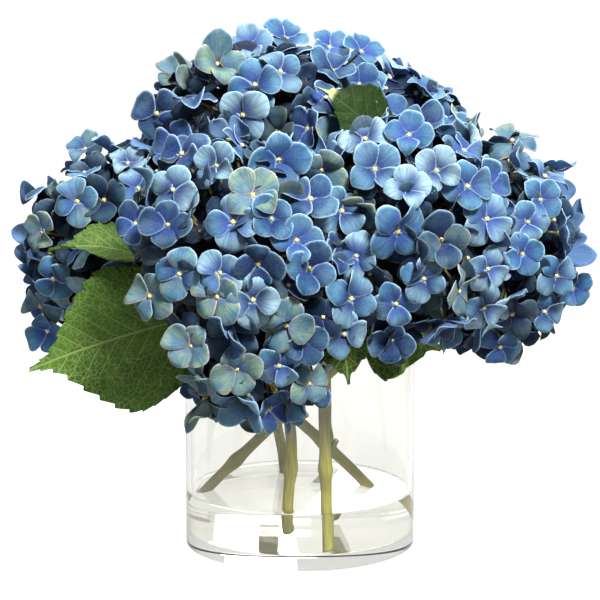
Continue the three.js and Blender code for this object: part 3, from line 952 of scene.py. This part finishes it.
bloom = {
    "tries": 3200,
    "swell": 3.5 * mm,  # how lumpy the head is
    "swellLumps": 2.2,
    "lift": 4.2 * mm,  # how far florets stand in front of each other
    "liftRange": (-1, 0.4),
    "lean": 0.8,
    "sizeSpread": 0.17,
    # from the outside in: share of the head's radii, spacing, number of the floret shelf, painted shade
    "shells": [
        {"share": 0.98, "spacing": 18.6 * mm, "shelf": 0, "deep": 0.0},
        {"share": 0.87, "spacing": 17.5 * mm, "shelf": 1, "deep": 0.78},
        {"share": 0.75, "spacing": 18.5 * mm, "shelf": 2, "deep": 0.96},
        {"share": 0.6, "spacing": 22.0 * mm, "shelf": 2, "deep": 1.0},
    ],
    "offStem": 0.9,  # how far round towards the stem florets stand: 1 is all the way
    "offVase": 9.0 * mm,
    "offRim": 2.0 * mm,
    "offLeaf": 11.0 * mm,
    "sight": 11.0 * mm,  # florets keep this far from the line of sight to an open leaf
    "drift": 22.0,  # how fast the colour changes over a head
    "core": 0.55,  # share of the head's radii that the dark shell of painted shade fills
    "coreRoom": 6.0 * mm,
    "coreRows": 26,
    "coreSides": 44,
    # painted shade: the near-black tones of that shell
    "coreTones": ("#131c30", "#1e2a22"),
    "clusters": 14,
    "hub": 0.42,  # where the stalks of a cluster part, as a share of the way out
    "bend": 0.6,  # and where they bend on the rest of it
    "bendDepth": 3.0 * mm,
    "stalkEnd": 1.0 * mm,  # this far under the floret
    "stalk": 0.75 * mm,
    "stalkSides": 5,
    "stalkTones": ("#8a8a4a", "#6f6a3a"),
}
# centre and radii in millimetres. away points to the head's stem, sage is the share of grey-green
# florets, bright moves the rest towards pale blue, share is how much of its radii the head fills, and
# bare lists balls without florets
blooms = {
    "front": {
        "centre": (-31, -88, 160), "radii": (64, 52, 73), "away": (0.1, 0.8, -0.6),
        "seed": 11, "sage": 0.3, "bright": -0.1, "share": 1.0,
        "bare": [
            ((-45, -88, 82), 17), ((-51, -80, 94), 15), ((-28, -85, 82), 12), ((-37, -105, 90), 13),
            ((-62, -98, 100), 16),
        ],
    },
    "middle": {
        "centre": (50, -62, 177), "radii": (56, 50, 62), "away": (-0.2, 0.6, -0.8),
        "seed": 23, "sage": 0.2, "bright": -0.1, "share": 0.99, "bare": [((70, -62, 112), 18)],
    },
    "right": {
        "centre": (100, -4, 168), "radii": (56, 60, 66), "away": (-0.7, 0, -0.7),
        "seed": 35, "sage": 0.2, "bright": 0.12, "share": 0.895,
        "bare": [((72, -15, 100), 24), ((94, -25, 104), 18), ((140, -10, 100), 24)],
    },
    "top": {
        "centre": (-18, 20, 224), "radii": (73, 66, 57), "away": (0, 0, -1),
        "seed": 47, "sage": 0.22, "bright": -0.3, "share": 0.94,
        "bare": [((-78, 10, 252), 12), ((44, -18, 250), 15)],
    },
    "back": {
        "centre": (42, 68, 200), "radii": (68, 62, 68), "away": (-0.2, -0.7, -0.7),
        "seed": 59, "sage": 0.2, "bright": 0.0, "share": 0.9, "bare": [],
    },
    "left": {
        "centre": (-97, 14, 163), "radii": (58, 62, 64), "away": (0.7, 0, -0.7),
        "seed": 71, "sage": 0.1, "bright": 0.06, "share": 0.9, "bare": [((-112, -46, 176), 15)],
    },
}

# florets that lead the heads: the pixel where they are seen, reach in mm, turn of the first petal, which
# cup of the full shelf, colour, and for some painted shade, a lean to the right and up and the head that
# they are on
leading = [
    {"seen": (255, 85), "reach": 15.5, "turn": 105, "cup": 1, "tint": 0.5},
    {"seen": (243, 115), "reach": 14, "turn": 125, "cup": 0, "tint": 0.86, "lean": (0, -0.25)},
    {"seen": (281, 71), "reach": 13, "turn": 130, "cup": 2, "tint": 0.6, "lean": (0.3, 0.2)},
    {"seen": (279, 160), "reach": 15.5, "turn": 100, "cup": 4, "tint": 0.36, "lean": (0, -0.5)},
    {"seen": (365, 138), "reach": 13, "turn": 10, "cup": 2, "tint": 1.0, "lean": (0, 0.3)},
    {"seen": (409, 134), "reach": 13, "turn": 80, "cup": 3, "tint": 0.42},
    {"seen": (408, 188), "reach": 12.5, "turn": 100, "cup": 3, "tint": 0.93, "lean": (0.2, 0.3)},
    {"seen": (216, 165), "reach": 12.5, "turn": 145, "cup": 3, "tint": 0.72, "lean": (-0.4, 0)},
    {"seen": (253, 194), "reach": 15, "turn": 130, "cup": 3, "tint": 0.9, "sage": 0.8, "lean": (0, 0.3)},
    {"seen": (322, 172), "reach": 14, "turn": 60, "cup": 5, "tint": 0.3, "sage": 0.9, "lean": (-0.3, -0.7)},
    {"seen": (233, 222), "reach": 14, "turn": 90, "cup": 1, "tint": 0.66},
    {"seen": (272, 218), "reach": 12, "turn": 40, "cup": 4, "tint": 0.3},
    {"seen": (297, 240), "reach": 13.5, "turn": 85, "cup": 3, "tint": 0.55},
    {"seen": (342, 211), "reach": 14, "turn": 30, "cup": 1, "tint": 0.6},
    {"seen": (356, 256), "reach": 12, "turn": 75, "cup": 2, "tint": 0.7},
    {"seen": (173, 190), "reach": 12.5, "turn": 60, "cup": 0, "tint": 0.72},
    {"seen": (138, 188), "reach": 12.5, "turn": 115, "cup": 2, "tint": 0.66, "lean": (-0.3, 0)},
    {"seen": (167, 224), "reach": 13, "turn": 85, "cup": 4, "tint": -0.3, "deep": 0.35},
    {"seen": (134, 223), "reach": 11.5, "turn": 200, "cup": 4, "tint": 0.1, "deep": 0.2},
    {"seen": (258, 266), "reach": 13, "turn": 95, "cup": 5, "tint": 0.0, "deep": 0.35, "lean": (0, -0.5)},
    {"seen": (220, 273), "reach": 12, "turn": 135, "cup": 2, "tint": 0.7},
    {"seen": (179, 274), "reach": 12.5, "turn": 75, "cup": 2, "tint": 0.45, "sage": 0.25},
    {"seen": (311, 269), "reach": 13, "turn": 70, "cup": 6, "tint": 0.2},
    {"seen": (253, 300), "reach": 14, "turn": 95, "cup": 1, "tint": 0.86},
    {"seen": (217, 297), "reach": 13.5, "turn": 130, "cup": 2, "tint": 0.3, "sage": 1.0, "lean": (-0.3, 0)},
    {"seen": (149, 296), "reach": 13.5, "turn": 160, "cup": 2, "tint": 0.3, "sage": 1.0, "lean": (-0.3, 0)},
    {"seen": (286, 325), "reach": 13.5, "turn": 75, "cup": 0, "tint": 0.4, "sage": 1.2},
    {"seen": (352, 299), "reach": 14, "turn": 70, "cup": 2, "tint": 0.58},
    {"seen": (344, 334), "reach": 12.5, "turn": 90, "cup": 0, "tint": 0.72},
    {"seen": (279, 366), "reach": 12.5, "turn": 40, "cup": 1, "tint": 0.66, "lean": (0, -0.2)},
    {"seen": (237, 370), "reach": 13, "turn": 110, "cup": 4, "tint": 0.1, "sage": 0.9, "deep": 0.2},
    {"seen": (190, 346), "reach": 12.5, "turn": 50, "cup": 4, "tint": 0.4, "sage": 0.6, "lean": (-0.3, 0.2)},
    {"seen": (468, 186), "reach": 14, "turn": 10, "cup": 2, "tint": 0.5},
    {"seen": (487, 219), "reach": 14.5, "turn": 50, "cup": 1, "tint": 0.7},
    {"seen": (541, 199), "reach": 12.5, "turn": 45, "cup": 3, "tint": 0.5, "lean": (0.2, 0)},
    {"seen": (528, 222), "reach": 12, "turn": 10, "cup": 1, "tint": 0.66},
    {"seen": (443, 240), "reach": 14, "turn": 105, "cup": 6, "tint": -0.1, "sage": 0.3, "deep": 0.3},
    {"seen": (424, 279), "reach": 12, "turn": 75, "cup": 2, "tint": 0.62},
    {"seen": (396, 304), "reach": 12.5, "turn": 20, "cup": 1, "tint": 0.55},
    {"seen": (488, 269), "reach": 12, "turn": 65, "cup": 1, "tint": 0.8},
    {"seen": (523, 254), "reach": 12, "turn": 20, "cup": 3, "tint": 0.42},
    {"seen": (557, 276), "reach": 12, "turn": 40, "cup": 2, "tint": 0.58},
    {"seen": (484, 308), "reach": 13.5, "turn": 70, "cup": 1, "tint": 0.72},
    {"seen": (500, 347), "reach": 13, "turn": 150, "cup": 1, "tint": 0.4, "head": "right"},
    {"seen": (545, 312), "reach": 12, "turn": 0, "cup": 2, "tint": 0.6},
    {"seen": (437, 170), "reach": 13.5, "turn": 150, "cup": 3, "tint": 1.0, "sage": 0.2},
    {"seen": (392, 341), "reach": 12, "turn": 80, "cup": 4, "tint": -0.1, "deep": 0.2},
    {"seen": (77, 201), "reach": 13.5, "turn": 110, "cup": 2, "tint": 0.5, "sage": 0.2},
    {"seen": (41, 232), "reach": 12.5, "turn": 150, "cup": 3, "tint": 0.5, "sage": 0.9, "lean": (-0.4, 0)},
    {"seen": (53, 279), "reach": 12, "turn": 130, "cup": 1, "tint": 0.45},
    {"seen": (85, 148), "reach": 12, "turn": 70, "cup": 3, "tint": 0.6, "sage": 0.3, "head": "left"},
    {"seen": (40, 307), "reach": 12, "turn": 160, "cup": 2, "tint": 0.5, "sage": 0.4, "head": "left"},
    {"seen": (47, 332), "reach": 12, "turn": 100, "cup": 4, "tint": 0.4, "head": "left"},
    {"seen": (250, 44), "reach": 13, "turn": 100, "cup": 3, "tint": 0.7, "head": "top"},
    {"seen": (286, 37), "reach": 13, "turn": 70, "cup": 4, "tint": 0.5, "head": "top"},
    {"seen": (330, 46), "reach": 12.5, "turn": 40, "cup": 3, "tint": 0.55, "head": "top"},
    {"seen": (362, 50), "reach": 12.5, "turn": 90, "cup": 4, "tint": 0.4, "head": "top"},
    {"seen": (305, 342), "reach": 12.5, "turn": 20, "cup": 3, "tint": 0.2, "deep": 0.3, "head": "front"},
    {"seen": (574, 288), "reach": 12, "turn": 30, "cup": 3, "tint": 0.4, "head": "right"},
    {"seen": (128, 162), "reach": 11.5, "turn": 60, "cup": 3, "tint": 0.9, "lean": (0, 0.4)},
]


def seamsOf(name):
    # planes that part a bloom from its neighbours: (normal, offset), own side where normal . p > offset
    own = blooms[name]
    seams = []
    for other in blooms.values():
        if other is own:
            continue
        apart = Vector(other["centre"]) - Vector(own["centre"])
        d = apart.normalized()
        ownReach, otherReach = (
            math.hypot(*(r * c for r, c in zip(each["radii"], d))) for each in (own, other))
        distance = (apart.length + ownReach - otherReach) / 2
        seams.append((-d, -d.dot((Vector(own["centre"]) + d * distance) * mm)))
    return seams


def leafSamples():
    # points of all the leaves, and those that stay in sight of the camera
    near, shown = [], []
    for plan in leaves.values():
        for s in (0.06, 0.16, 0.27, 0.38, 0.5, 0.62, 0.74, 0.86, 0.97):
            for across in (-0.95, -0.7, -0.35, 0.0, 0.35, 0.7, 0.95):
                at = leafPoint(plan, s, across)
                near.append(at)
                if s >= plan["open"]:
                    shown.append(at)
    return {"near": np.array(near), "shown": np.array(shown)}


def isClear(at, reach, seams, cloud):
    # whether a ball of this reach keeps off the neighbours, the vase and the leaves
    if any(n.dot(at) < offset for n, offset in seams):
        return False
    low = at.z - reach < vase["height"] + bloom["offRim"]
    if low and math.hypot(at.x, at.y) < vase["radius"] + bloom["offVase"]:
        return False
    return np.min(np.linalg.norm(cloud["near"] - np.array(at), axis=1)) > bloom["offLeaf"]


def hidesLeaf(at, cloud):
    # whether a floret stands in front of an open leaf
    eye = np.array(studio["cameraPlace"])
    sight = cloud["shown"] - eye
    span = np.linalg.norm(sight, axis=1)
    sight /= span[:, None]
    to = np.array(at) - eye
    along = sight @ to
    off = np.linalg.norm(to - along[:, None] * sight, axis=1)
    return bool(np.any((off < bloom["sight"]) & (along < span - 1 * mm)))


def lead(one):
    # which head a leading floret is on, where it stands, and its rotation
    eye = Vector(studio["cameraPlace"])
    down = math.radians(studio["cameraDown"])
    right, up = Vector((1, 0, 0)), Vector((0, math.sin(down), math.cos(down)))
    zoom = studio["pixels"] * studio["lens"] / studio["sensor"]
    middle = studio["pixels"] / 2
    ray = right * (one["seen"][0] - middle) / zoom + up * (middle - one["seen"][1]) / zoom
    ray = (ray + Vector((0, math.cos(down), -math.sin(down)))).normalized()
    best = None
    for name, plan in blooms.items():
        if one.get("head", name) != name:
            continue
        centre = Vector(plan["centre"]) * mm
        radii = [r * mm * plan["share"] for r in plan["radii"]]
        start = Vector([c / r for c, r in zip(eye - centre, radii)])
        along = Vector([c / r for c, r in zip(ray, radii)])
        nearest = -start.dot(along) / along.dot(along)
        inside = nearest ** 2 - (start.dot(start) - 1) / along.dot(along)
        if inside < 0 and "head" not in one:
            continue
        reach = nearest - math.sqrt(max(inside, 0))
        if best is None or reach < best[0]:
            at = eye + ray * reach
            normal = Vector([c / r ** 2 for c, r in zip(at - centre, radii)]).normalized()
            best = (reach, name, at, normal)
    _, name, at, normal = best
    sideways, upwards = one.get("lean", (0, 0))
    facing = (normal * 0.5 - ray * 0.5 + right * sideways + up * upwards).normalized()
    turn = math.radians(one["turn"])
    first = right * math.cos(turn) + up * math.sin(turn)
    first = (first - facing * first.dot(facing)).normalized()
    pose = Matrix((first, facing.cross(first), facing)).transposed().to_euler()
    return name, at, pose


def openSpots(name, shell, cloud, draw):
    # places and normals over one shell of a head where a floret may stand
    plan = blooms[name]
    centre = Vector(plan["centre"]) * mm
    radii = [r * mm * shell["share"] * plan["share"] for r in plan["radii"]]
    away = Vector(plan["away"]).normalized()
    seams = seamsOf(name)
    golden = math.pi * (3 - math.sqrt(5))  # the turn that spreads points evenly over a ball
    shift = Vector((plan["seed"], 0, 0))
    spots = []
    for i in range(bloom["tries"]):
        z = 1 - 2 * (i + 0.5) / bloom["tries"]
        r = math.sqrt(1 - z * z)
        d = Vector((r * math.cos(golden * i), r * math.sin(golden * i), z))
        normal = Vector([c / s for c, s in zip(d, radii)]).normalized()
        swell = bloom["swell"] * noise.noise(d * bloom["swellLumps"] + shift)
        at = centre + Vector([c * s for c, s in zip(d, radii)])
        at += normal * (swell + bloom["lift"] * draw.uniform(*bloom["liftRange"]))
        if any((at - Vector(spot) * mm).length < radius * mm for spot, radius in plan["bare"]):
            continue
        reach = 0.8 * floret["reach"] * math.sqrt(max(0, 1 - normal.z ** 2))
        off = normal.dot(away) < bloom["offStem"]
        if off and isClear(at, reach, seams, cloud) and not hidesLeaf(at, cloud):
            spots.append((at, normal))
    return spots


def floretSpots(name, shell, cloud, draw, taken):
    # even spots over one shell of a head, clear of the florets that are there already
    spots = openSpots(name, shell, cloud, draw)
    kept = []
    places = np.array([at for at, _ in spots])
    gaps = np.full(len(spots), 1.0)
    for at in taken:
        gaps = np.minimum(gaps, np.linalg.norm(places - np.array(at), axis=1))
    pick = int(np.argmax(gaps)) if taken else draw.randrange(len(spots))
    while gaps[pick] > shell["spacing"]:
        kept.append(spots[pick])
        gaps = np.minimum(gaps, np.linalg.norm(places - places[pick], axis=1))
        pick = int(np.argmax(gaps))
    return kept


def makeShadeCore(name, material, cloud):
    # the dark heart of a head: a shell of painted shade that stands in for the shadow deep among its florets
    # and branches, and stops the view through the head
    plan = blooms[name]
    centre = Vector(plan["centre"]) * mm
    seams = seamsOf(name)
    rows, sides = bloom["coreRows"], bloom["coreSides"]
    points, faces = [], []
    for i in range(rows + 1):
        for k in range(sides if 0 < i < rows else 1):
            up, turn = math.pi * i / rows, 2 * math.pi * k / sides
            d = Vector((math.sin(up) * math.cos(turn), math.sin(up) * math.sin(turn), math.cos(up)))
            full = Vector([c * r * mm for c, r in zip(d, plan["radii"])])
            share = bloom["core"]
            while share > 0.05 and not isClear(centre + full * share, bloom["coreRoom"], seams, cloud):
                share *= 0.93
            crumple = 1 + 0.09 * noise.noise(d * 6 + Vector(plan["centre"])) + 0.05 * noise.noise(d * 17)
            points.append(centre + full * share * crumple)

    def ringPoint(i, k):
        # the first and the last ring are one point each
        if i == 0:
            return 0
        return len(points) - 1 if i == rows else 1 + (i - 1) * sides + k % sides

    for i in range(rows):
        for k in range(sides):
            corners = [ringPoint(i, k), ringPoint(i + 1, k), ringPoint(i + 1, k + 1), ringPoint(i, k + 1)]
            faces.append(tuple(dict.fromkeys(corners)))
    hand(newObject("bloom" + name.capitalize() + "Core", points, faces, material), "petal", "bloom_" + name)


def newTree(name, inputs, output):
    # an empty geometry tree with its named inputs, and the sockets that give them
    tree = bpy.data.node_groups.new(name, "GeometryNodeTree")
    for label, kind in inputs.items():
        tree.interface.new_socket(label, in_out="INPUT", socket_type="NodeSocket" + kind)
    tree.interface.new_socket(output, in_out="OUTPUT", socket_type="NodeSocketGeometry")
    return tree, addNode(tree, "NodeGroupInput").outputs


def endTree(tree, geometry, material, output):
    # the last steps of a tree: real faces with their material
    real = addNode(tree, "GeometryNodeRealizeInstances", {"Geometry": geometry})
    done = addNode(tree, "GeometryNodeSetMaterial", {"Geometry": real.outputs[0], "Material": material})
    addNode(tree, "NodeGroupOutput", {output: done.outputs[0]})
    return tree


def pointField(tree, name, kind):
    return addNode(tree, "GeometryNodeInputNamedAttribute", {"Name": name}, data_type=kind).outputs[0]


def chosen(tree, switch, no, yes, kind):
    # yes where the switch is on, and no elsewhere
    inputs = {"Switch": switch, "False": no, "True": yes}
    return addNode(tree, "GeometryNodeSwitch", inputs, input_type=kind).outputs[0]


def bloomTree():
    # puts a floret on each spot, facing outwards, with its own lean, spin and size. The listed spots bring
    # their pose and size with them
    tree, given = newTree("dressBloom", {
        "Spots": "Geometry", "Florets": "Collection", "Size spread": "Float", "Lean": "Float",
        "Seed": "Int", "Petals": "Material",
    }, "Bloom")
    lean, spread, seed = given["Lean"], given["Size spread"], given["Seed"]
    back = maths(tree, "MULTIPLY", lean, -1.0)
    twist = addNode(tree, "FunctionNodeRandomValue", {
        0: joined(tree, back, back), 1: joined(tree, lean, lean, 2 * math.pi), "Seed": seed,
    }, data_type="FLOAT_VECTOR")
    turn = addNode(tree, "FunctionNodeEulerToRotation", {0: twist.outputs[0]})
    facing = addNode(tree, "FunctionNodeAlignRotationToVector", {
        "Vector": pointField(tree, "outward", "FLOAT_VECTOR")}, axis="Z")
    posed = addNode(tree, "FunctionNodeRotateRotation", {
        0: facing.outputs[0], 1: turn.outputs[0]}, rotation_space="LOCAL")
    size = addNode(tree, "FunctionNodeRandomValue", {
        2: maths(tree, "SUBTRACT", 1.0, spread), 3: maths(tree, "ADD", 1.0, spread), "Seed": seed,
    }, data_type="FLOAT")
    placed = pointField(tree, "placed", "BOOLEAN")
    byHand = addNode(tree, "FunctionNodeEulerToRotation", {0: pointField(tree, "pose", "FLOAT_VECTOR")})
    rotation = chosen(tree, placed, posed.outputs[0], byHand.outputs[0], "ROTATION")
    scale = chosen(tree, placed, size.outputs[1], pointField(tree, "size", "FLOAT"), "FLOAT")
    shelf = addNode(tree, "GeometryNodeCollectionInfo", {
        "Collection": given["Florets"], "Separate Children": True, "Reset Children": True})
    dressed = addNode(tree, "GeometryNodeInstanceOnPoints", {
        "Points": given["Spots"], "Instance": shelf.outputs[0], "Pick Instance": True,
        "Instance Index": pointField(tree, "kind", "INT"), "Rotation": rotation, "Scale": scale,
    })
    return endTree(tree, dressed.outputs[0], given["Petals"], "Bloom")


def stalkTree():
    # turns the lines of a head's branches into round stalks
    tree, given = newTree("growStalks", {
        "Lines": "Geometry", "Thickness": "Float", "Sides": "Int", "Bark": "Material"}, "Stalks")
    curves = addNode(tree, "GeometryNodeMeshToCurve", {"Mesh": given["Lines"]})
    ring = addNode(tree, "GeometryNodeCurvePrimitiveCircle", {
        "Resolution": given["Sides"], "Radius": given["Thickness"]})
    tubes = addNode(tree, "GeometryNodeCurveToMesh", {
        "Curve": curves.outputs[0], "Profile Curve": ring.outputs[0], "Fill Caps": True})
    return endTree(tree, tubes.outputs[0], given["Bark"], "Stalks")


def grown(name, source, tree, values):
    # the plain mesh that a tree makes of a source object, which is then dropped
    step = source.modifiers.new("grow", "NODES")
    step.node_group = tree
    sockets = {s.name: s.identifier for s in tree.interface.items_tree if s.in_out == "INPUT"}
    for label, value in values.items():
        step[sockets[label]] = value
    depsgraph = bpy.context.evaluated_depsgraph_get()
    mesh = bpy.data.meshes.new_from_object(
        source.evaluated_get(depsgraph), preserve_all_data_layers=True, depsgraph=depsgraph)
    source.modifiers.remove(step)
    bpy.data.objects.remove(source)
    mesh.name = name
    mesh.polygons.foreach_set("use_smooth", [True] * len(mesh.polygons))
    return linkObject(name, mesh)


def fillHead(name, cloud, draw):
    # all the florets of a head, the leading ones first: places, normals and what they carry
    leads = [(one, *lead(one)[1:]) for one in leading if lead(one)[0] == name]
    spots = [(at, pose.to_matrix().col[2]) for _, at, pose in leads]
    kinds = [one["cup"] for one, _, _ in leads]
    paintedShades = [one.get("deep", 0.0) for one, _, _ in leads]
    for shell in bloom["shells"]:
        taken = [at for _, at, _ in leads] if shell["shelf"] == 0 else []
        found = floretSpots(name, shell, cloud, draw, taken)
        board = floret["shelves"][shell["shelf"]]
        spots += found
        kinds += [board["first"] + draw.randrange(len(board["cups"])) for _ in found]
        # painted shade: each shell's own amount, and more on a few florets at random so that they look
        # shaded
        paintedShades += [min(shell["deep"] + 0.5 * max(draw.random() - 0.6, 0.0), 1.0) for _ in found]
    sages, tints = [], []
    plan = blooms[name]
    for at, _ in spots:
        drift = 0.5 + 0.9 * noise.noise(at * bloom["drift"])
        wants = smooth(draw.random() * 0.7 + drift * 0.3, 0.86 - plan["sage"], 0.98 - plan["sage"])
        sages.append(wants)
        tints.append(min(max(draw.random() * 1.1 - 0.2 + drift * 0.25 + plan["bright"], -0.1), 1))
    for i, (one, _, _) in enumerate(leads):
        tints[i], sages[i] = one["tint"], one.get("sage", 0.0)
    rest = len(spots) - len(leads)
    sizes = [one["reach"] * mm / floret["reach"] for one, _, _ in leads] + [1.0] * rest
    return spots, {
        "placed": ("BOOLEAN", [True] * len(leads) + [False] * rest),
        "pose": ("FLOAT_VECTOR", [tuple(pose) for _, _, pose in leads] + [(0, 0, 0)] * rest),
        "size": ("FLOAT", sizes),
        "outward": ("FLOAT_VECTOR", [normal for _, normal in spots]),
        "kind": ("INT", kinds), "tint": ("FLOAT", tints), "sage": ("FLOAT", sages), "deep": ("FLOAT", paintedShades),
    }


def stalkLines(name, spots):
    # from the fork of the stem to a hub for each cluster, and from the nearest hub to each floret
    centre = Vector(blooms[name]["centre"]) * mm
    fork = scaled(stems[name]["path"][-1:])[0]
    hubs = [mix(centre, at, bloom["hub"]) for at, _ in spots[:bloom["clusters"]]]
    points, edges = [fork, *hubs], [(0, i + 1) for i in range(len(hubs))]
    for at, normal in spots:
        hub = min(hubs, key=lambda each: (each - at).length)
        bend = mix(hub, at, bloom["bend"]) - normal * bloom["bendDepth"]
        points += [hub, bend, at - normal * bloom["stalkEnd"]]
        edges += [(len(points) - 3, len(points) - 2), (len(points) - 2, len(points) - 1)]
    mesh = bpy.data.meshes.new(name + "Lines")
    mesh.from_pydata([tuple(p) for p in points], edges, [])
    return linkObject(name + "Lines", mesh)


def makeBloom(name, shelf, trees, materials, cloud):
    seed = blooms[name]["seed"]
    title = "bloom" + name.capitalize()
    spots, carries = fillHead(name, cloud, random.Random(seed))
    holder = newObject(title + "Spots", [at for at, _ in spots], [])
    for label, (kind, values) in carries.items():
        pointValues(holder.data, label, kind, values)
    florets = grown(title, holder, trees["florets"], {
        "Florets": shelf, "Size spread": bloom["sizeSpread"], "Lean": bloom["lean"],
        "Seed": seed, "Petals": materials["petal"],
    })
    hand(florets, "petal", "bloom_" + name)
    makeShadeCore(name, materials["core"], cloud)
    stalks = grown(title + "Stalks", stalkLines(name, spots), trees["stalks"], {
        "Thickness": bloom["stalk"], "Sides": bloom["stalkSides"], "Bark": materials["stalk"]})
    hand(stalks, "stem", "bloom_" + name)
    count = sum(len(p.vertices) - 2 for p in florets.data.polygons)
    print(title, len(spots), "florets,", count, "triangles")


def blotchedMaterial(name, scale, low, high, tones, roughness):
    material, tree = newMaterial(name)
    blotch = cloudy(tree, texturePlace(tree), scale, 3.0)
    base = blend(tree, stepped(tree, blotch, low, high), *tones)
    finishMaterial(tree, **{"Base Color": base, "Roughness": roughness})
    return material


makeCamera(bpy.context.scene)
makeLamps(bpy.context.scene)
makeSky(bpy.context.scene)
makeFloor()
print("studio ready")
makeVase()
makeWater()
greenStem = stemMaterial()
for name, plan in stems.items():
    makeStem(name, plan, greenStem)
print("stems ready")
leafGreen = leafMaterial()
for name, plan in leaves.items():
    makeLeaf(name, plan, leafGreen)
print("leaves ready")
shelf = makeFlorets()
trees = {"florets": bloomTree(), "stalks": stalkTree()}
materials = {
    "petal": petalMaterial(),
    "stalk": blotchedMaterial("stalkGreen", 160.0, 0.35, 0.65, bloom["stalkTones"], 0.6),
    "core": blotchedMaterial("bloomCore", 220.0, 0.4, 0.65, bloom["coreTones"], 0.9),
}
cloud = leafSamples()
for name in blooms:
    makeBloom(name, shelf, trees, materials, cloud)
for spare in list(shelf.objects):
    bpy.data.objects.remove(spare)
bpy.data.collections.remove(shelf)
print("blooms ready")
